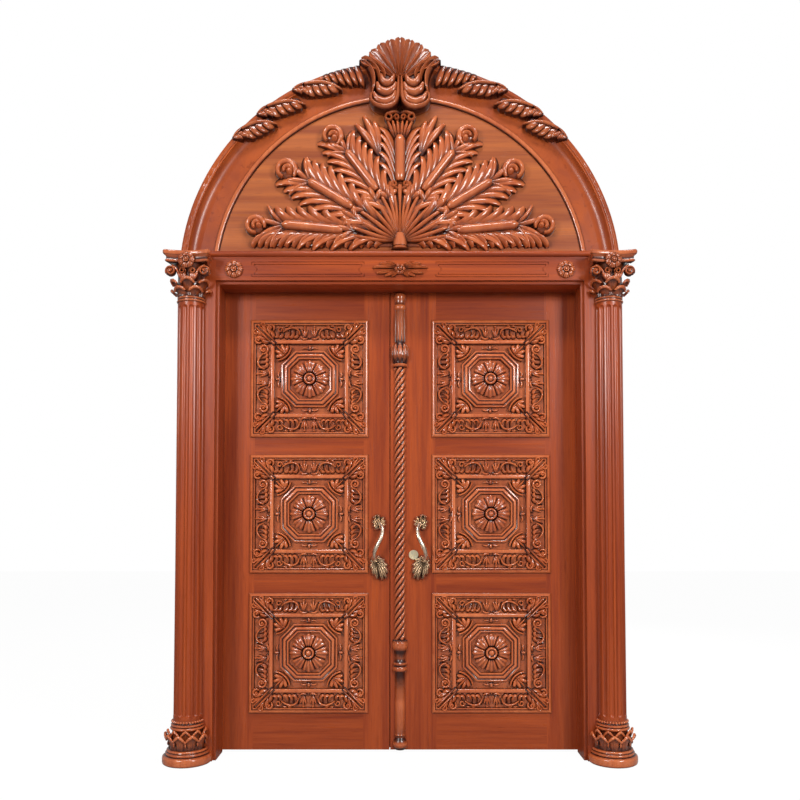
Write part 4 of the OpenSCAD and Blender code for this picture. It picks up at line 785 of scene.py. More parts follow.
# feathers along both sides of a rod, which ends in a rolled leaf
def fanPlume(carving, foot, head, half, curlAt, length, rise):
    foot, head = np.array(foot, float), np.array(head, float)
    run = (head - foot) / np.linalg.norm(head - foot)
    for side, spread, section in ((1, 1.3, "shingle"), (-1, 1.52, "shingleBack")):
        for k in range(fanLook["feathers"]):
            t = k / (fanLook["feathers"] - 1)
            route = [foot + (head - foot) * (t * spread - .62) + turnedBy(run, side * 90) * half * .35]
            reach = length * np.interp(t, [0, .4, 1], [.84, 1.04, .8])
            for turn, share in fanLook["hooks"]:
                route.append(route[-1] + turnedBy(run, side * turn) * reach * share)
            lobe(carving, route, length * .32, rise * (.9 - .2 * t), section, tip=.4, count=14)
    rolledLeaf(carving, head, run, curlAt, rise)
    t = np.linspace(0, 1, 18)
    cap = np.interp(t, [0, .03, .08, .93, .975, 1], [.55, .8, 1, 1, .78, .3])
    height = rise * np.interp(t, [0, .05, .95, 1], [.9, 1.1, 1.16, .9])
    sweepRelief(carving, foot + (head - foot) * t[:, None], half * cap, height)


# the rolled leaf past a rod's end
def rolledLeaf(carving, head, run, curlAt, rise):
    x, y, r = curlAt
    aim = np.array([x, y]) - head
    for off, share in ((-46, .8), (-18, 1), (14, 1), (44, .8)):
        d = turnedBy(aim, off)
        route = [head - run * 12, head + d * .45, head + turnedBy(d, off * .3) * .95]
        lobe(carving, route, r * .56 * share, rise * .8, tip=.5)
    start = math.degrees(math.atan2(-aim[1], -aim[0]))
    back = -aim / np.linalg.norm(aim) * r
    dome(carving, (x, y), r * .7, rise * .8, lift=.5)
    curl(carving, (x, y), r * .72, r * .6, start + 16, -290, r * .6, rise * 1.06)
    curl(carving, (x + back[0] * .12, y + back[1] * .12), r * .34, r * .26, start - 40, -200, r * .5,
         rise * 1.16)
    dome(carving, (x + back[0] * .26, y + back[1] * .26), r * .3, rise * 1.26)


def carveFanSide(carving):
    rise = fanLook["relief"]
    for (foot, head, half), curlAt, length in zip(fanLook["rods"], fanLook["curls"], fanLook["lengths"]):
        fanPlume(carving, foot, head, half, curlAt, length, rise)
    # feathers beside the centre shaft
    for y, reach in fanLook["shaftFeathers"]:
        route = [(16, y), (26, y + reach * .42), (32 + reach * .12, y + reach * .8),
                 (52 + reach * .3, y + reach * .86)]
        lobe(carving, route, 40, rise * .84, "shingleBack", count=14, tip=.42)
    # the spray between the centre and the first plume
    for bend, tip, width in fanLook["spray"]:
        lobe(carving, [(92, 420), bend, tip], width, rise * .96, tip=.4, root=.6, count=12)
    # ribs that spread from the vase
    for tip, bend, width in fanLook["ribs"]:
        lobe(carving, [(8, 32), bend, tip], width, rise * .92, tip=.9, root=.3, count=14)
    # leaves where the ribs end
    for at, aim, reach in fanLook["ribLeaves"]:
        at = np.array(at)
        for off in (-36, 36, 0):
            d = turnedBy((1, 0), aim + off)
            tip = at + turnedBy(d, off * .4) * reach * (1 - abs(off) * .004)
            lobe(carving, [at - d * 8, at + d * reach * .5, tip], 33, rise * (1.12 - abs(off) * .005), tip=.5,
                 root=.7)
    # the hem along the foot
    count, first, step = fanLook["hem"]
    for k in range(count):
        x = first + k * step
        route = [(x, 60), (x + 46, 62), (x + 90, 44), (x + 104, 6)]
        lobe(carving, route, 36, rise * .76, "shingle", tip=.5, count=12)
    count, first, step = fanLook["innerHem"]
    for k in range(count):
        x = first + k * step
        route = [(x, 28 + k * 4), (x + 30, 38 + k * 3), (x + 62, 28 + k * 2), (x + 70, 5)]
        lobe(carving, route, 31, rise * .66, "shingle", tip=.5)


# shaft with its crown of leaves, stem and vase on the middle line
def carveFanMiddle(carving):
    t = np.linspace(0, 1, 14)
    route = np.stack([np.zeros(14), fanLook["shaftFoot"] + fanLook["shaftLength"] * t], 1)
    sweepRelief(carving, route, fanLook["shaft"] * np.interp(t, [0, .06, .94, 1], [.8, 1, 1, .7]),
                fanLook["shaftRise"] * np.interp(t, [0, .05, .95, 1], [.85, 1, 1, .8]))
    for x in fanLook["crown"]:
        lobe(carving, [(x * .5, 500), (x * .8, 536), (x * 1.2, 584)], 20, 34, tip=.9, root=.6)
    for s in (-1, 1):
        for x, y, outer, inner, start, turn, width, rise in fanLook["middleCurls"]:
            curl(carving, (s * x, y), outer, inner, 90 + s * start, s * turn, width, rise)
        lobe(carving, [(0, 612), (s * 34, 626), (s * 66, 596)], 20, 40, tip=.6, root=.8)
        lobe(carving, [(0, 262), (s * 20, 268), (s * 44, 296)], 20, 40, tip=.6, root=.9)
    sweepRelief(carving, [(0, 40), (0, 120), (0, 200), (0, 282)], [5, 6, 7, 16], [26, 28, 30, 36])
    for half, low, high, rise in fanLook["vase"]:
        route = [(0, low), (0, (low + high) / 2), (0, high)]
        sweepRelief(carving, route, [half, half * .95, half * .7], rise)


# a thin ground that carries all leaves of the fan
def fanGround(carving):
    half = fanLook["ground"]
    outline = half + [(-x, y) for x, y in reversed(half[1:-1])]
    n = len(outline)
    rim = [(i, (i + 1) % n, n + (i + 1) % n, n + i) for i in range(n)]
    # the ground gets some painted shade
    carving.add([(x, y, -2) for x, y in outline] + [(x * .985, y * .985 + 3, 7) for x, y in outline],
                [tuple(range(n)), tuple(reversed(range(n, 2 * n)))] + rim, .5)


fanSide = Carving()
carveFanSide(fanSide)
fan = fanSide.bothSides()
carveFanMiddle(fan)
fanGround(fan)
carvedPiece("fanCarving", fan, onFace(0, door["bandFront"], door["fanFoot"]), ["fan_carving"], fanWood)
print("fan carved:", fan.total, "points")

# bead around the tympanum, with painted shade along both its edges

archBeadLook = {"radius": 832.8, "half": 13.0, "turn": 82.6, "points": 121}
archBead = Carving()
turns = np.linspace(-archBeadLook["turn"], archBeadLook["turn"], archBeadLook["points"])
beadRoute = [polar(a, archBeadLook["radius"]) for a in turns]
sweepRelief(archBead, beadRoute, archBeadLook["half"], archBeadLook["half"])
carvedPiece("archBead", archBead, onFace(0, door["bandFront"], door["archCentre"]), ["arch_bead"], fanWood,
            smooth=60)
print("arch bead run")

# crest and garlands on the rim

crestLook = {
    "shell": 3012.0, "front": 75.05, "relief": 34, "sink": 30,
    "middle": 188, "turns": (15, 30, 46, 62), "reach": (184, 184, 184, 198), "ribHalf": 27, "ribRoot": 18,
    "hollow": [(58, 20), (64, -30), (66, -104)],
    "hollowHalf": [20, 26, 32, 38, 42, 44, 46, 46, 44, 40, 32, 22],
    "cups": [([(20, -56), (28, -84), (66, -104), (106, -88), (118, -62)], 48, .84),
             ([(18, -20), (28, -46), (60, -62), (92, -48), (102, -20)], 48, .94),
             ([(26, 14), (36, -10), (58, -22), (78, -10), (84, 16)], 44, 1.02)],
    "rim": [(6, 10), (8, -30), (9, -80), (24, -116), (64, -130), (110, -120), (134, -94), (128, -70)],
    "rimHalf": 11,
    "shoulder": [([(182, 80), (150, 76), (116, 44), (110, -8), (128, -60)], 26),
                 ([(150, 84), (116, 68), (92, 34), (94, -6)], 24),
                 ([(118, 70), (84, 54), (66, 26), (72, 4)], 22)],
}


# one rib of the shell; the backs of neighbours lie a little apart in depth
def shellRib(carving, turn, reach):
    t, root, sink = np.linspace(0, 1, 15), crestLook["ribRoot"], crestLook["sink"]
    half = crestLook["ribHalf"] * (1.0 if turn < 60 else .9)
    half = half * np.interp(t, [0, .5, .84, .95, 1], [.2, .62, 1, .82, .3])
    rise = crestLook["relief"] * np.interp(t, [0, .3, .75, .93, 1], [.5, .8, 1.0, .96, .7])
    rise = rise * (1 - turn * .003)
    route = polar(turn, 1)[None, :] * (root + (reach - root) * t)[:, None]
    sweepRelief(carving, route, half, rise, "scoop", sink=sink - turn * .03)
    if turn:
        # a thin rod in the groove beside the rib
        route = polar(turn - 7.5, 1)[None, :] * (root + (reach - 46) * t)[:, None]
        half = 4.5 * np.interp(t, [0, 1], [.5, 1])
        sweepRelief(carving, route, half, rise * 1.06, sink=sink - 3 - turn * .03)


def carveCrestSide(carving):
    rise, sink = crestLook["relief"], crestLook["sink"]
    for turn, reach in reversed(list(zip(crestLook["turns"], crestLook["reach"]))):
        shellRib(carving, turn, reach)
    # a volute: cups nested in a thick rim that hangs down the middle and hooks up
    # the hollow of the volute is given painted shade
    sweepRelief(carving, smoothRoute(crestLook["hollow"], 12), crestLook["hollowHalf"], rise * .4, sink=sink,
                unshaded=np.full(12, .3))
    t = np.linspace(0, 1, 20)
    for route, width, share in crestLook["cups"]:
        half = width / 2 * np.interp(t, [0, .25, .5, .75, 1], [.35, .85, 1, .85, .4])
        sweepRelief(carving, smoothRoute(route, 20), half, rise * share, sink=sink)
    t = np.linspace(0, 1, 26)
    half = crestLook["rimHalf"] * np.interp(t, [0, .2, .6, 1], [.5, .9, 1.3, .7])
    height = rise * np.interp(t, [0, .3, 1], [.8, 1, 1.05])
    sweepRelief(carving, smoothRoute(crestLook["rim"], 26), half, height, sink=sink)
    # the leaf that falls from the shoulder to the volute
    for route, width in crestLook["shoulder"]:
        lobe(carving, route, width, rise * .98, "shingleBack", tip=.5, root=.5, count=16, sink=sink)


garlandLook = {
    "relief": 16, "radius": 982, "sink": 36,
    "fingers": [(10.9, 10.5, 90), (12.7, 12.1, 80), (14.5, 13.8, 78), (16.3, 15.6, 66), (18.0, 17.2, 50),
                (19.6, 18.8, 38)],
    "leaves": [(16.9, 24.6, 90), (28.2, 36.0, 90), (38.3, 45.0, 94)],
    "scallops": 4, "folds": ((2.2, 44, 30), (3.6, 30, 26)),
}


# fingers beside the crest, then leaves: each has a spine from the rim to a point, and scallops under it
def carveGarlandSide(carving):
    rise, r, sink = garlandLook["relief"], garlandLook["radius"], garlandLook["sink"]
    # the ends lie back towards the band
    dip = np.interp(np.linspace(0, 1, 12), [0, .3, .8, 1], [0, -2, -18, -22])
    for root, tip, reach in garlandLook["fingers"]:
        route = [polar(root + .5, r - 6), polar(root + .3, r - reach * .5), polar(tip, r - reach)]
        lobe(carving, route, 34, rise, "shingle", dip, root=.7, count=12, sink=sink, blunt=True)
    for tip, root, reach in garlandLook["leaves"]:
        span = root - tip
        spine = bezier([polar(root + 1.5, r - 10), polar(root - span * .25, r - 22),
                        polar(tip + span * .35, r - 40), polar(tip, r - reach)], 24)
        for n in range(garlandLook["scallops"]):
            t = n / (garlandLook["scallops"] - 1)
            start = spine[int(2 + 13 * (1 - t))]
            end = polar(tip + span * (.14 + .86 * t), r - (reach - 4 - 20 * t * t))
            route = [start, (start + end) / 2 + polar(root + 60, 9), end]
            lobe(carving, route, 50, rise * (.92 - .05 * n), "shingle", dip, root=.6, count=12, sink=sink,
                 blunt=True)
        t = np.linspace(0, 1, 24)
        sweepRelief(carving, spine, 11 * np.interp(t, [0, .3, .8, 1], [.7, 1, .9, .35]), rise * 1.14,
                    foot=np.interp(t, [0, .5, 1], [0, -2, -18]), sink=sink)
        # folds rolled over past the leaf
        for off, low, width in garlandLook["folds"]:
            at = root + off
            route = [polar(at + 1.4, r - 8), polar(at + .4, r - low * .55), polar(at - .6, r - low - 10)]
            lobe(carving, route, width, rise * 1.1, tip=.75, root=.6, sink=sink)
        dome(carving, polar(root + 2.6, r - 24), 12, rise * 1.4, rings=5, spokes=14)
        route = [polar(root + 1, r - 7), polar(root + 2.6, r - 3), polar(root + 5, r - 8)]
        lobe(carving, route, 15, rise * 1.05, tip=.5, sink=8)


crestSide, garlandSide = Carving(), Carving()
carveCrestSide(crestSide)
carveGarlandSide(garlandSide)
crest = crestSide.bothSides()
shellRib(crest, 0, crestLook["middle"])
carvedPiece("crest", crest, onFace(0, -crestLook["front"], crestLook["shell"]), ["crest"], rimWood)
carvedPiece("archGarlands", garlandSide.bothSides(), onFace(0, -crestLook["front"], door["archCentre"]),
            ["arch_garlands"], rimWood)
print("crest and garlands carved")

# flowers and spray on the frieze

friezeLook = {
    "flower": 40, "flowerRise": 15, "sprayFlower": 25, "sprayFlowerRise": 17, "sprayRise": 16,
    "spray": ((30, 10, 122, 6, 19), (24, 2, 104, -17, 18), (26, 14, 92, 25, 17), (20, -6, 68, -30, 17),
              (18, 18, 60, 33, 16), (12, -10, 38, -32, 14)),  # root, tip and width of each leaf
}
friezeFlowers, spray = Carving(), Carving()
for sign in doorSides.values():
    rosette(friezeFlowers, friezeLook["flower"], friezeLook["flowerRise"], 0, button=.34,
            centre=(sign * door["friezeRosette"], 0), fine=10)
for x, y, tipX, tipY, width in friezeLook["spray"]:
    bend = ((x + tipX) / 2, (y + tipY) / 2 + 9 * np.sign(tipY))
    lobe(spray, [(x * .3, y * .3), bend, (tipX, tipY)], width, friezeLook["sprayRise"], "vein", tip=.45)
spray = spray.bothSides()
rosette(spray, friezeLook["sprayFlower"], friezeLook["sprayFlowerRise"], 0, petals=6, button=.36, fine=10)
onFrieze = onFace(0, door["boardFront"], door["friezeMiddle"])
carvedPiece("friezeRosettes", friezeFlowers, onFrieze, ["frieze_rosettes"], smooth=60)
carvedPiece("friezeSpray", spray, onFrieze, ["frieze_spray"])
print("frieze dressed")

# column bases and capitals

baseLook = {
    "lines": [(100, 0, .3), (104, 3, .6), (106, 9, 1), (106, 26, 1), (104, 33, 1), (99, 37, .7),
              (93, 38.5, .1), (91, 40, .2), (93, 43, .9), (93, 48, .9), (90, 51, .5), (87, 52, .1),
              (86, 54, .5), (88, 57, 1), (86, 62, .9), (80, 64.5, .3), (73, 66, .3), (71, 90, .45),
              (66, 120, .45), (64, 141, .3), (66, 144, .4), (72, 147, 1), (73.5, 152, 1), (71, 156, .8),
              (66, 158, .1), (66.5, 160, .4), (70, 162, 1), (70, 167, 1), (66, 170, .4), (63, 172, .1),
              (62.5, 175, .2), (64, 184, .6), (62, 186, .4)],
    "beads": 17, "bead": 5.6, "beadHeight": 179.5, "beadReach": 64.0,
    "leaves": 5, "step": 36, "drop": 24, "between": 22.6,
    "highRow": {"start": -63, "foot": (84, 2), "tip": (146, 17), "width": 44, "roll": 5.0},
    "lowRow": {"start": -81, "foot": (65, 4), "tip": (127, 25), "width": 46, "roll": 5.8},
    "around": 72, "heights": [0, 66, 90, 134, 186], "radii": [72, 72, 71, 65, 64],
}


def carveBase(x):
    whole, turned, leaves = Carving(), Carving(), Carving()
    halfTurning(turned, baseLook["lines"], 49)
    whole.lay(turned, onFace(x, door["columnFront"], 0))
    for row in (baseLook["highRow"], baseLook["lowRow"]):
        high, out = row["tip"]
        for k in range(baseLook["leaves"]):
            u = math.radians(row["start"] + baseLook["step"] * k) * baseLook["around"]
            crownLeaf(leaves, u, row["foot"], row["tip"], row["width"], baseLook["drop"], 1.3, row["roll"])
            # a small drop where two leaves meet
            route = [(u + baseLook["between"], high - down) for down in (22, 34, 46)]
            lobe(leaves, route, 9, 7, foot=out * .35, tip=.5, root=.8)
    whole.lay(leaves, aroundPost(x, door["columnFront"], 0, baseLook))
    return whole


capitalLook = {
    "lines": [(57, 0, .2), (60, 1, .5), (63, 4, 1), (63, 8, 1), (60, 11, .6), (57, 12, .05), (57, 14, .2),
              (60, 16, 1), (61, 20, 1), (59, 23, .7), (56, 25, .1), (55, 40, .4), (55, 80, .45),
              (58, 120, .45), (66, 150, .45), (76, 164, .5)],
    "highRow": {"count": 3, "start": -60, "step": 60, "tip": (94, 27), "width": 48, "drop": 17},
    "lowRow": {"count": 4, "start": -87, "step": 58, "tip": (57, 26), "width": 48, "drop": 15},
    "leafFoot": (25, 1), "leafRoll": 7.0,
    "abacus": 105,
    "abacusLines": [(.86, 163, .2), (.9, 165, .7), (.93, 170, 1), (.9, 175, .5), (.885, 177, .1),
                    (.885, 186, .5), (.9, 190, .8), (.95, 193, .9), (.97, 195, .4), (.985, 197, 1),
                    (1.0, 202, 1), (1.0, 209, 1), (.985, 213, .9), (.96, 214, .5)],
    "flower": 37, "flowerRise": 15, "flowerAt": (0, 171, 86),
    "scroll": (73, 127, 63), "edge": (80, 60), "bud": (22, 128, 66),
    "budLeaves": ((.2, 22), (.75, 22), (1.3, 20)),  # lean and width
    "around": 60, "heights": [0, 25, 80, 150], "radii": [58, 56, 56, 64],
}


def abacus(carving):
    # the plan of the slab's front half: hollow sides and cut corners
    half, lines = capitalLook["abacus"], capitalLook["abacusLines"]
    side = [(-(.84 + .13 * k * k) * half, -.9 * half * k) for k in np.linspace(0, 1, 7)]
    front = [(-.9 * half + 1.8 * half * k, -(.82 + .16 * (2 * k - 1) ** 2) * half)
             for k in np.linspace(0, 1, 13)]
    plan = np.array(side + front + [(-x, y) for x, y in reversed(side)])
    rows = [np.stack([plan[:, 0] * s, np.full(len(plan), v), -plan[:, 1] * s], 1) for s, v, c in lines]
    unshaded = np.repeat([c for s, v, c in lines], len(plan))
    carving.add(np.concatenate(rows), tubeFaces(len(lines), len(plan)), unshaded)


# a scroll under the abacus with its stem, a bud with its leaves, and a scroll that looks sideways
def capitalSide(front, s):
    scroll, bud, edge = Carving(), Carving(), Carving()
    away, high, out = capitalLook["scroll"]
    dome(scroll, (0, 0), 22, 10, lift=.3)
    curl(scroll, (0, 0), 24, 6, 90 - s * 110, s * 560, 11, 20, count=36)
    dome(scroll, (0, 0), 8, 25, rings=4, spokes=12)
    front.take(scroll, shift=(s * away, high, out))
    lobe(front, [(s * 26, 92), (s * 40, 134), (s * 72, 158)], 16, 17, foot=58, sink=14)
    budX, budY, budOut = capitalLook["bud"]
    curl(bud, (0, 0), 15, 5, 90 + s * 110, -s * 480, 9, 15, count=26)
    front.take(bud, shift=(s * budX, budY, budOut))
    for lean, width in capitalLook["budLeaves"]:
        route = [(s * (12 + lean * 8), 84), (s * (14 + lean * 14), 106),
                 (s * (10 + lean * 26), 134 - lean * 6)]
        lobe(front, route, width, 17, foot=57, tip=.8, root=.5, sink=14)
    edgeX, edgeOut = capitalLook["edge"]
    curl(edge, (0, 0), 21, 5, 90 + s * 110, -s * 560, 11, 14, count=30)
    front.lay(edge, lambda p: np.stack([s * (edgeX + p[:, 2]), high + p[:, 1], edgeOut - p[:, 0]], 1))


def carveCapital(x):
    whole, front, flower, leaves = Carving(), Carving(), Carving(), Carving()
    halfTurning(front, capitalLook["lines"], 41)
    abacus(front)
    rosette(flower, capitalLook["flower"], capitalLook["flowerRise"], 0, petals=7, button=.34, fine=8)
    front.take(flower, shift=capitalLook["flowerAt"])
    for s in (-1, 1):
        capitalSide(front, s)
    whole.lay(front, onFace(x, door["columnFront"], door["capitalFoot"]))
    for row in (capitalLook["highRow"], capitalLook["lowRow"]):
        for k in range(row["count"]):
            u = math.radians(row["start"] + row["step"] * k) * capitalLook["around"]
            crownLeaf(leaves, u, capitalLook["leafFoot"], row["tip"], row["width"], row["drop"], 2.0,
                      capitalLook["leafRoll"])
    whole.lay(leaves, aroundPost(x, door["columnFront"], door["capitalFoot"], capitalLook))
    return whole


def socketOf(made, text, side):
    node, label = text.split(".")
    return getattr(made[node], side)[int(label) if label.isdigit() else label]


# a tree that sets a shape on points: its sizes, its nodes by name, its links and its fixed values
def repeatTree(name, material, sizes, kinds, links, fixed):
    tree = bpy.data.node_groups.new(name, "GeometryNodeTree")
    tree.interface.new_socket("Geometry", in_out="OUTPUT", socket_type="NodeSocketGeometry")
    for label, kind in sizes.items():
        tree.interface.new_socket(label, in_out="INPUT", socket_type="NodeSocket" + kind)
    kinds = {**kinds, "size": "NodeGroupInput", "end": "NodeGroupOutput",
             "place": "GeometryNodeInstanceOnPoints", "real": "GeometryNodeRealizeInstances",
             "paint": "GeometryNodeSetMaterial"}
    made = {label: tree.nodes.new(kind) for label, kind in kinds.items()}
    made["paint"].inputs["Material"].default_value = material
    for text, value in fixed.items():
        socketOf(made, text, "inputs").default_value = value
    for line in links + ["place.Instances > real.Geometry", "real.Geometry > paint.Geometry",
                         "paint.Geometry > end.Geometry"]:
        source, target = line.split(" > ")
        tree.links.new(socketOf(made, source, "outputs"), socketOf(made, target, "inputs"))
    return tree, made


# runs a tree on an empty mesh and gives back the plain mesh
def grown(name, tree, values):
    holder = bpy.data.objects.new(name + "Holder", bpy.data.meshes.new(name + "Holder"))
    scene.collection.objects.link(holder)
    modifier = holder.modifiers.new("grow", "NODES")
    modifier.node_group = tree
    for item in tree.interface.items_tree:
        if item.item_type == "SOCKET" and item.in_out == "INPUT":
            modifier[item.identifier] = values[item.name]
    mesh = bpy.data.meshes.new_from_object(holder.evaluated_get(bpy.context.evaluated_depsgraph_get()))
    holder.modifiers.remove(modifier)
    bpy.data.objects.remove(holder)
    mesh.name = name
    return mesh


# beads in a row around a turning
beadTree, _ = repeatTree(
    "beadRow", carvedUpright, {"Count": "Int", "Reach": "Float", "Bead": "Float"},
    {"arc": "GeometryNodeCurveArc", "dots": "GeometryNodeCurveToPoints", "ball": "GeometryNodeMeshIcoSphere"},
    ["size.Reach > arc.Radius", "arc.Curve > dots.Curve", "size.Count > dots.Count",
     "size.Bead > ball.Radius", "dots.Points > place.Points", "ball.Mesh > place.Instance"],
    {"arc.Start Angle": math.pi, "arc.Sweep Angle": math.pi, "ball.Subdivisions": 2})
for side, sign in doorSides.items():
    x = sign * door["columnX"]
    carvedPiece(f"{side}ColumnBase", carveBase(x), None, [f"{side}_column_base"])
    carvedPiece(f"{side}Capital", carveCapital(x), None, [f"{side}_capital"], fanWood)
    mesh = grown(f"{side}BaseBeads", beadTree, {
        "Count": baseLook["beads"], "Reach": baseLook["beadReach"] * .001, "Bead": baseLook["bead"] * .001})
    setLift(mesh, np.ones(len(mesh.vertices)))
    mesh.transform(Matrix.Translation((x * .001, door["columnFront"] * .001, baseLook["beadHeight"] * .001)))
    finishPiece(f"{side}BaseBeads", mesh)
print("columns dressed")

# astragal with its rope

astragalLook = {
    "radius": 37, "strands": 5, "lead": 168.0, "ropeFoot": 507.5, "ropeTop": 1748.4, "centre": 16.6,
    # the last two set where the painted shade in the rope's grooves ends and how fast it fades
    "strand": 8.9, "core": 18, "shadeEnd": 20.5, "shadeRun": 3.8,
    # share of the height and of the radius
    "foot": [(0, .56), (.003, .7), (.007, .84), (.013, .89), (.019, .82), (.024, .64), (.027, .57),
             (.03, .58), (.032, .66), (.034, .6), (.1, .6), (.166, .6), (.168, .7), (.17, .84), (.174, .9),
             (.178, .86), (.18, .72), (.183, .8), (.186, .87), (.188, .8), (.19, .66), (.198, .62),
             (.206, .68), (.212, .76), (.216, .88), (.222, .94), (.229, .95), (.234, .9), (.237, .7),
             (.239, .5)],
    "head": [(.833, .5), (.8345, .8), (.837, .92), (.841, .94), (.843, .78), (.846, .76), (.852, .9),
             (.86, 1), (.868, .99), (.877, .9), (.885, .72), (.889, .6), (.9, .58), (.93, .585), (.962, .6),
             (.964, .66), (.967, .68), (.972, .68), (.974, .6), (.98, .6), (.986, .66), (.99, .7),
             (.996, .7), (.999, .64)],
    "upperLeaf": [(1758, -1), (1785, 5), (1812, 4), (1834, 6), (1846, 2)],
    "lowerLeaf": [(494, -1), (476, 3), (462, 2), (448, 4), (440, 1)],
    "leaves": (5, -72, 36), "reeds": (4, -60, 40),  # count, first angle and step
    "reed": (1856, 1900, 1990), "around": 30,
    "heights": [430, 450, 470, 490, 1755, 1790, 1830, 1850, 2000],
    "radii": [24, 28, 34, 34, 29, 36, 33, 24, 22],
}


# turned lines with painted shade in the grooves
def astragalLines(shares):
    lines = []
    for k, (v, r) in enumerate(shares):
        near = max(q for _, q in shares[max(k - 1, 0):k + 2])
        unshaded = float(np.clip((r - near) / .12 + 1, .1, 1))
        lines.append((astragalLook["radius"] * r, door["astragalHeight"] * v, unshaded))
    return lines


def carveAstragal():
    whole, turned, leaves = Carving(), Carving(), Carving()
    look = astragalLook
    for part in ("foot", "head"):
        halfTurning(turned, astragalLines(look[part]), 25)
    # a core behind the rope, all in painted shade, darkens the rope's grooves
    halfTurning(turned, [(look["core"], v, 0) for v in (look["ropeFoot"] - 16, look["ropeTop"] - 8)], 17)
    whole.lay(turned, onFace(0, door["leafFront"], door["astragalFoot"]))
    count, first, step = look["leaves"]
    for k in range(count):
        u = math.radians(first + step * k) * look["around"]
        curledLeaf(leaves, u, look["upperLeaf"], 17, 3, .2)
        curledLeaf(leaves, u, look["lowerLeaf"], 16, -3, .2)
    count, first, step = look["reeds"]
    for k in range(count):
        u = math.radians(first + step * k) * look["around"]
        lobe(leaves, [(u, v) for v in look["reed"]], 9, 4)
    whole.lay(leaves, aroundPost(0, door["leafFront"], door["astragalFoot"], look))
    return whole


carvedPiece("astragalTurnings", carveAstragal(), None, ["astragal"], body="right_leaf")

ropeTree, ropeNodes = repeatTree(
    "ropeStrands", carvedUpright,
    {"Strands": "Int", "Turns": "Float", "Height": "Float", "Centre": "Float", "Strand": "Float"},
    {"spiral": "GeometryNodeCurveSpiral", "circle": "GeometryNodeCurvePrimitiveCircle",
     "sweep": "GeometryNodeCurveToMesh", "dots": "GeometryNodePoints", "index": "GeometryNodeInputIndex",
     "share": "ShaderNodeMath", "angle": "ShaderNodeMath", "turn": "ShaderNodeCombineXYZ",
     "euler": "FunctionNodeEulerToRotation"},
    ["size.Turns > spiral.Rotations", "size.Centre > spiral.Start Radius", "size.Centre > spiral.End Radius",
     "size.Height > spiral.Height", "size.Strand > circle.Radius", "spiral.Curve > sweep.Curve",
     "circle.Curve > sweep.Profile Curve", "size.Strands > dots.Count", "index.Index > share.0",
     "size.Strands > share.1", "share.0 > angle.0", "angle.0 > turn.Z", "turn.Vector > euler.Euler",
     "euler.Rotation > place.Rotation", "dots.0 > place.Points", "sweep.Mesh > place.Instance"],
    {"angle.1": 2 * math.pi, "spiral.Resolution": 40, "spiral.Reverse": True, "circle.Resolution": 10,
     "sweep.Fill Caps": True})
ropeNodes["share"].operation, ropeNodes["angle"].operation = "DIVIDE", "MULTIPLY"

ropeHeight = (astragalLook["ropeTop"] - astragalLook["ropeFoot"]) * .001
mesh = grown("astragalRope", ropeTree, {
    "Strands": astragalLook["strands"], "Turns": ropeHeight * 1000 / astragalLook["lead"],
    "Height": ropeHeight, "Centre": astragalLook["centre"] * .001, "Strand": astragalLook["strand"] * .001})
mesh.transform(Matrix.Translation((0, door["leafFront"] * .001, astragalLook["ropeFoot"] * .001)))
# the half behind the leaf's face is cut off and closed
work = bmesh.new()
work.from_mesh(mesh)
bmesh.ops.bisect_plane(work, geom=work.verts[:] + work.edges[:] + work.faces[:], dist=1e-6,
                       plane_co=(0, (door["leafFront"] + 1) * .001, 0), plane_no=(0, 1, 0), clear_outer=True)
bmesh.ops.holes_fill(work, edges=[e for e in work.edges if e.is_boundary], sides=0)
work.to_mesh(mesh)
work.free()
# painted shade in the grooves between the strands, by distance from the rope's axis
points = meshPoints(mesh) * 1000
away = np.hypot(points[:, 0], points[:, 1] - door["leafFront"])
setLift(mesh, np.clip((away - astragalLook["shadeEnd"]) / astragalLook["shadeRun"], 0, 1))
finishPiece("astragalRope", mesh, body="right_leaf", smooth=60)

# a strip on the back of the right leaf covers the meeting line
stripLook = {"middle": -44.0, "half": 17.0, "low": 6.0, "high": 2124.0, "back": 122.0, "rise": 7.0}
cover = Carving()
climb = stripLook["low"] + (stripLook["high"] - stripLook["low"]) * np.linspace(0, 1, 12)
stripRoute = np.stack([np.full(12, stripLook["middle"]), climb], 1)
sweepRelief(cover, stripRoute, stripLook["half"], stripLook["rise"], sink=0)
carvedPiece("coverStrip", cover, lambda p: np.stack([p[:, 0], stripLook["back"] + p[:, 2], p[:, 1]], 1), (),
            uprightWood, "right_leaf", 40)
print("astragal turned")

# pull handles

handleLook = {
    "grip": 21,
    "route": [(9, 104, 14), (16, 92, 30), (20, 76, 44), (16, 50, 53), (4, 24, 56), (-9, 0, 56),
              (-17, -22, 52), (-20, -40, 40), (-18, -54, 24), (-14, -66, 8)],
    "topRoot": (8, 92),
    "top": [(-20, 84), (-27, 100), (-29, 120), (-21, 140), (0, 150), (20, 140), (31, 124), (33, 107),
            (27, 90)],
    "bottomRoot": (-14, -58),
    "bottom": [(8, -44), (28, -62), (42, -88), (44, -118), (36, -142), (18, -151), (-4, -145), (-24, -128),
               (-36, -100), (-38, -68), (-34, -46)],
    "collar": ((-70, 17), (-58, 13)), "curl": (-8, 136),
}


# a leaf of fingers around its root; the middle ones lie on top
def handleLeaf(carving, root, tips, width, rise):
    root, middle = np.array(root, float), (len(tips) - 1) / 2
    for n in sorted(range(len(tips)), key=lambda n: -abs(n - middle)):
        tip = np.array(tips[n], float)
        off = abs(n - middle) / len(tips)
        bend = root + (tip - root) * .55 + turnedBy((tip - root) * .1, 90 if n < len(tips) / 2 else -90)
        lobe(carving, [root, bend, tip], width, rise * (1.1 - .5 * off), "vein", tip=.55, root=.4, count=12,
             sink=0)


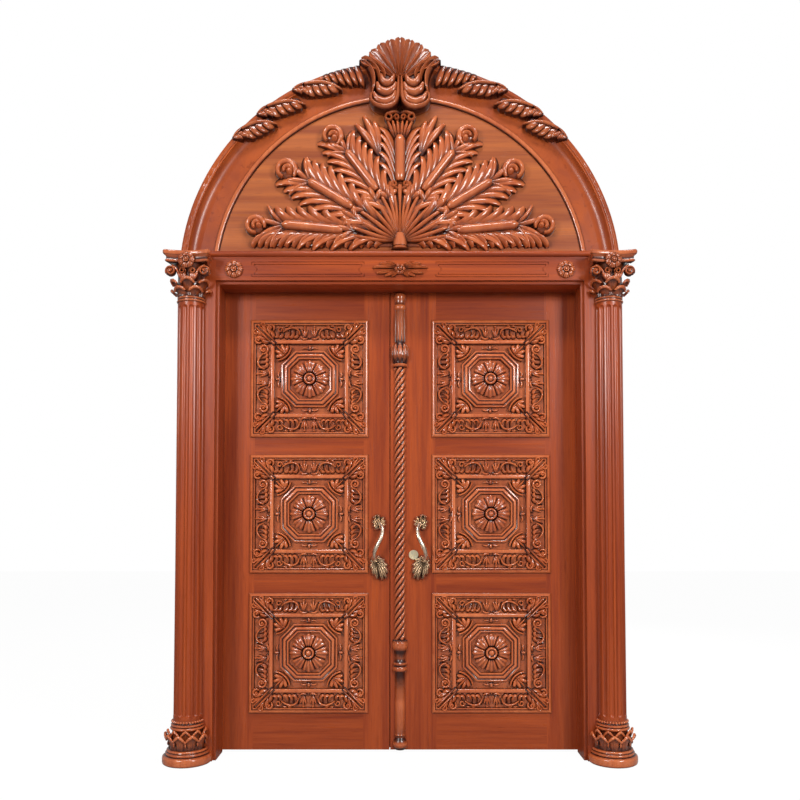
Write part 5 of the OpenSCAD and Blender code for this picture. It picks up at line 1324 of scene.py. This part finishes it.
def carveHandle():
    handle, look = Carving(), handleLook
    handleLeaf(handle, look["topRoot"], look["top"], 19, 24)
    handleLeaf(handle, look["bottomRoot"], look["bottom"], 23, 24)
    swell = np.interp(np.linspace(0, 1, 34), [0, .1, .22, .36, .55, .75, .9, 1],
                      [1.2, 1.0, .9, .95, 1.0, .95, 1.0, 1.1])
    bar(handle, smoothRoute(look["route"], 34), swell * look["grip"] / 2, 18, 3, .1)
    # the rolled collar under the grip and the curl over it
    x = look["bottomRoot"][0]
    for low, half in look["collar"]:
        route = [(x - half, low + 12), (x, low - 8), (x + half, low + 12)]
        lobe(handle, route, 10, 32, tip=.6, root=.6, count=12, sink=0)
    curl(handle, look["curl"], 13, 5, 300, 330, 10, 30)
    return handle


handleShape = carveHandle()
for side, sign in doorSides.items():
    place = onFace(sign * door["handleX"], door["leafFront"], door["handleZ"], flip=sign > 0)
    carvedPiece(f"{side}PullHandle", handleShape, place, [f"{side}_pull_handle"], bronzeMetal, f"{side}_leaf")
print("handles cast")

# camera, floor and light

view = {"lens": 35.4, "sensor": 36, "height": 1.026, "distance": 3.6, "pitch": 2.0, "shift": .122}
camera = bpy.data.objects.new("camera", bpy.data.cameras.new("camera"))
camera.data.lens, camera.data.sensor_width, camera.data.shift_y = view["lens"], view["sensor"], view["shift"]
camera.location = (0, door["leafFront"] * .001 - view["distance"], view["height"])
camera.rotation_euler = (math.radians(90 + view["pitch"]), 0, 0)
scene.collection.objects.link(camera)
scene.camera = camera

studioLook = {
    # place, target, size and power of each lamp
    "leftSoftbox": ((-3.0, -4.1, 2.9), (0, 0, 1.5), (1.2, 1.2), 116),
    "rightSoftbox": ((3.0, -4.1, 2.9), (0, 0, 1.5), (1.2, 1.2), 132),
    "topSoftbox": ((0, -2.2, 5.4), (0, -.1, 1.6), (2.0, .5), 85),
    "backSoftbox": ((1.6, 4.2, 3.0), (0, .1, 1.4), (2.0, 2.0), 110),
}
for name, (place, target, size, power) in studioLook.items():
    lamp = bpy.data.lights.new(name, "AREA")
    lamp.shape, lamp.size, lamp.size_y, lamp.energy = "RECTANGLE", size[0], size[1], power
    softbox = bpy.data.objects.new(name, lamp)
    softbox.location = place
    aim = np.array(target) - np.array(place)
    tilt, heading = math.acos(-aim[2] / np.linalg.norm(aim)), math.atan2(aim[0], -aim[1]) + math.pi
    softbox.rotation_euler = (tilt, 0, heading)
    scene.collection.objects.link(softbox)

# seen and inGloss are shares of the white that the camera and reflections get
whiteLook = {
    "floor": (.42, .41, .4, 1), "roughness": .7, "glow": 1.1, "seen": .88, "light": .1, "inGloss": .3,
}
floorMesh = bpy.data.meshes.new("floor")
floorMesh.from_pydata([(-12, -9, 0), (12, -9, 0), (12, 14, 0), (-12, 14, 0)], [], [(0, 1, 2, 3)])
floor = bpy.data.objects.new("floor", floorMesh)
scene.collection.objects.link(floor)
material, tree, shader = newMaterial("paleFloor")
shader.inputs["Base Color"].default_value = whiteLook["floor"]
shader.inputs["Roughness"].default_value = whiteLook["roughness"]
path, glow, mix = (tree.nodes.new("ShaderNode" + kind) for kind in ("LightPath", "Emission", "MixShader"))
glow.inputs["Strength"].default_value = whiteLook["glow"]
tree.links.new(mathNode(tree, "MULTIPLY", path.outputs["Is Camera Ray"], whiteLook["seen"]), mix.inputs[0])
tree.links.new(shader.outputs[0], mix.inputs[1])
tree.links.new(glow.outputs[0], mix.inputs[2])
tree.links.new(mix.outputs[0], tree.nodes["Material Output"].inputs["Surface"])
floorMesh.materials.append(material)

# a white world for the camera and a faint one for the object
world = bpy.data.worlds.new("studio")
scene.world = world
world.use_nodes = True
sky = world.node_tree
background = sky.nodes["Background"]
path, strength = sky.nodes.new("ShaderNodeLightPath"), sky.nodes.new("ShaderNodeMix")
shown = mathNode(sky, "MAXIMUM", path.outputs["Is Camera Ray"], path.outputs["Is Transmission Ray"])
gloss = mathNode(sky, "MULTIPLY", path.outputs["Is Glossy Ray"], whiteLook["inGloss"])
strength.data_type = "FLOAT"
sky.links.new(mathNode(sky, "MAXIMUM", shown, gloss), strength.inputs[0])
strength.inputs[2].default_value, strength.inputs[3].default_value = whiteLook["light"], 1.0
sky.links.new(strength.outputs[0], background.inputs["Strength"])
background.inputs["Color"].default_value = (1, 1, 1, 1)
print("camera, floor and light set")
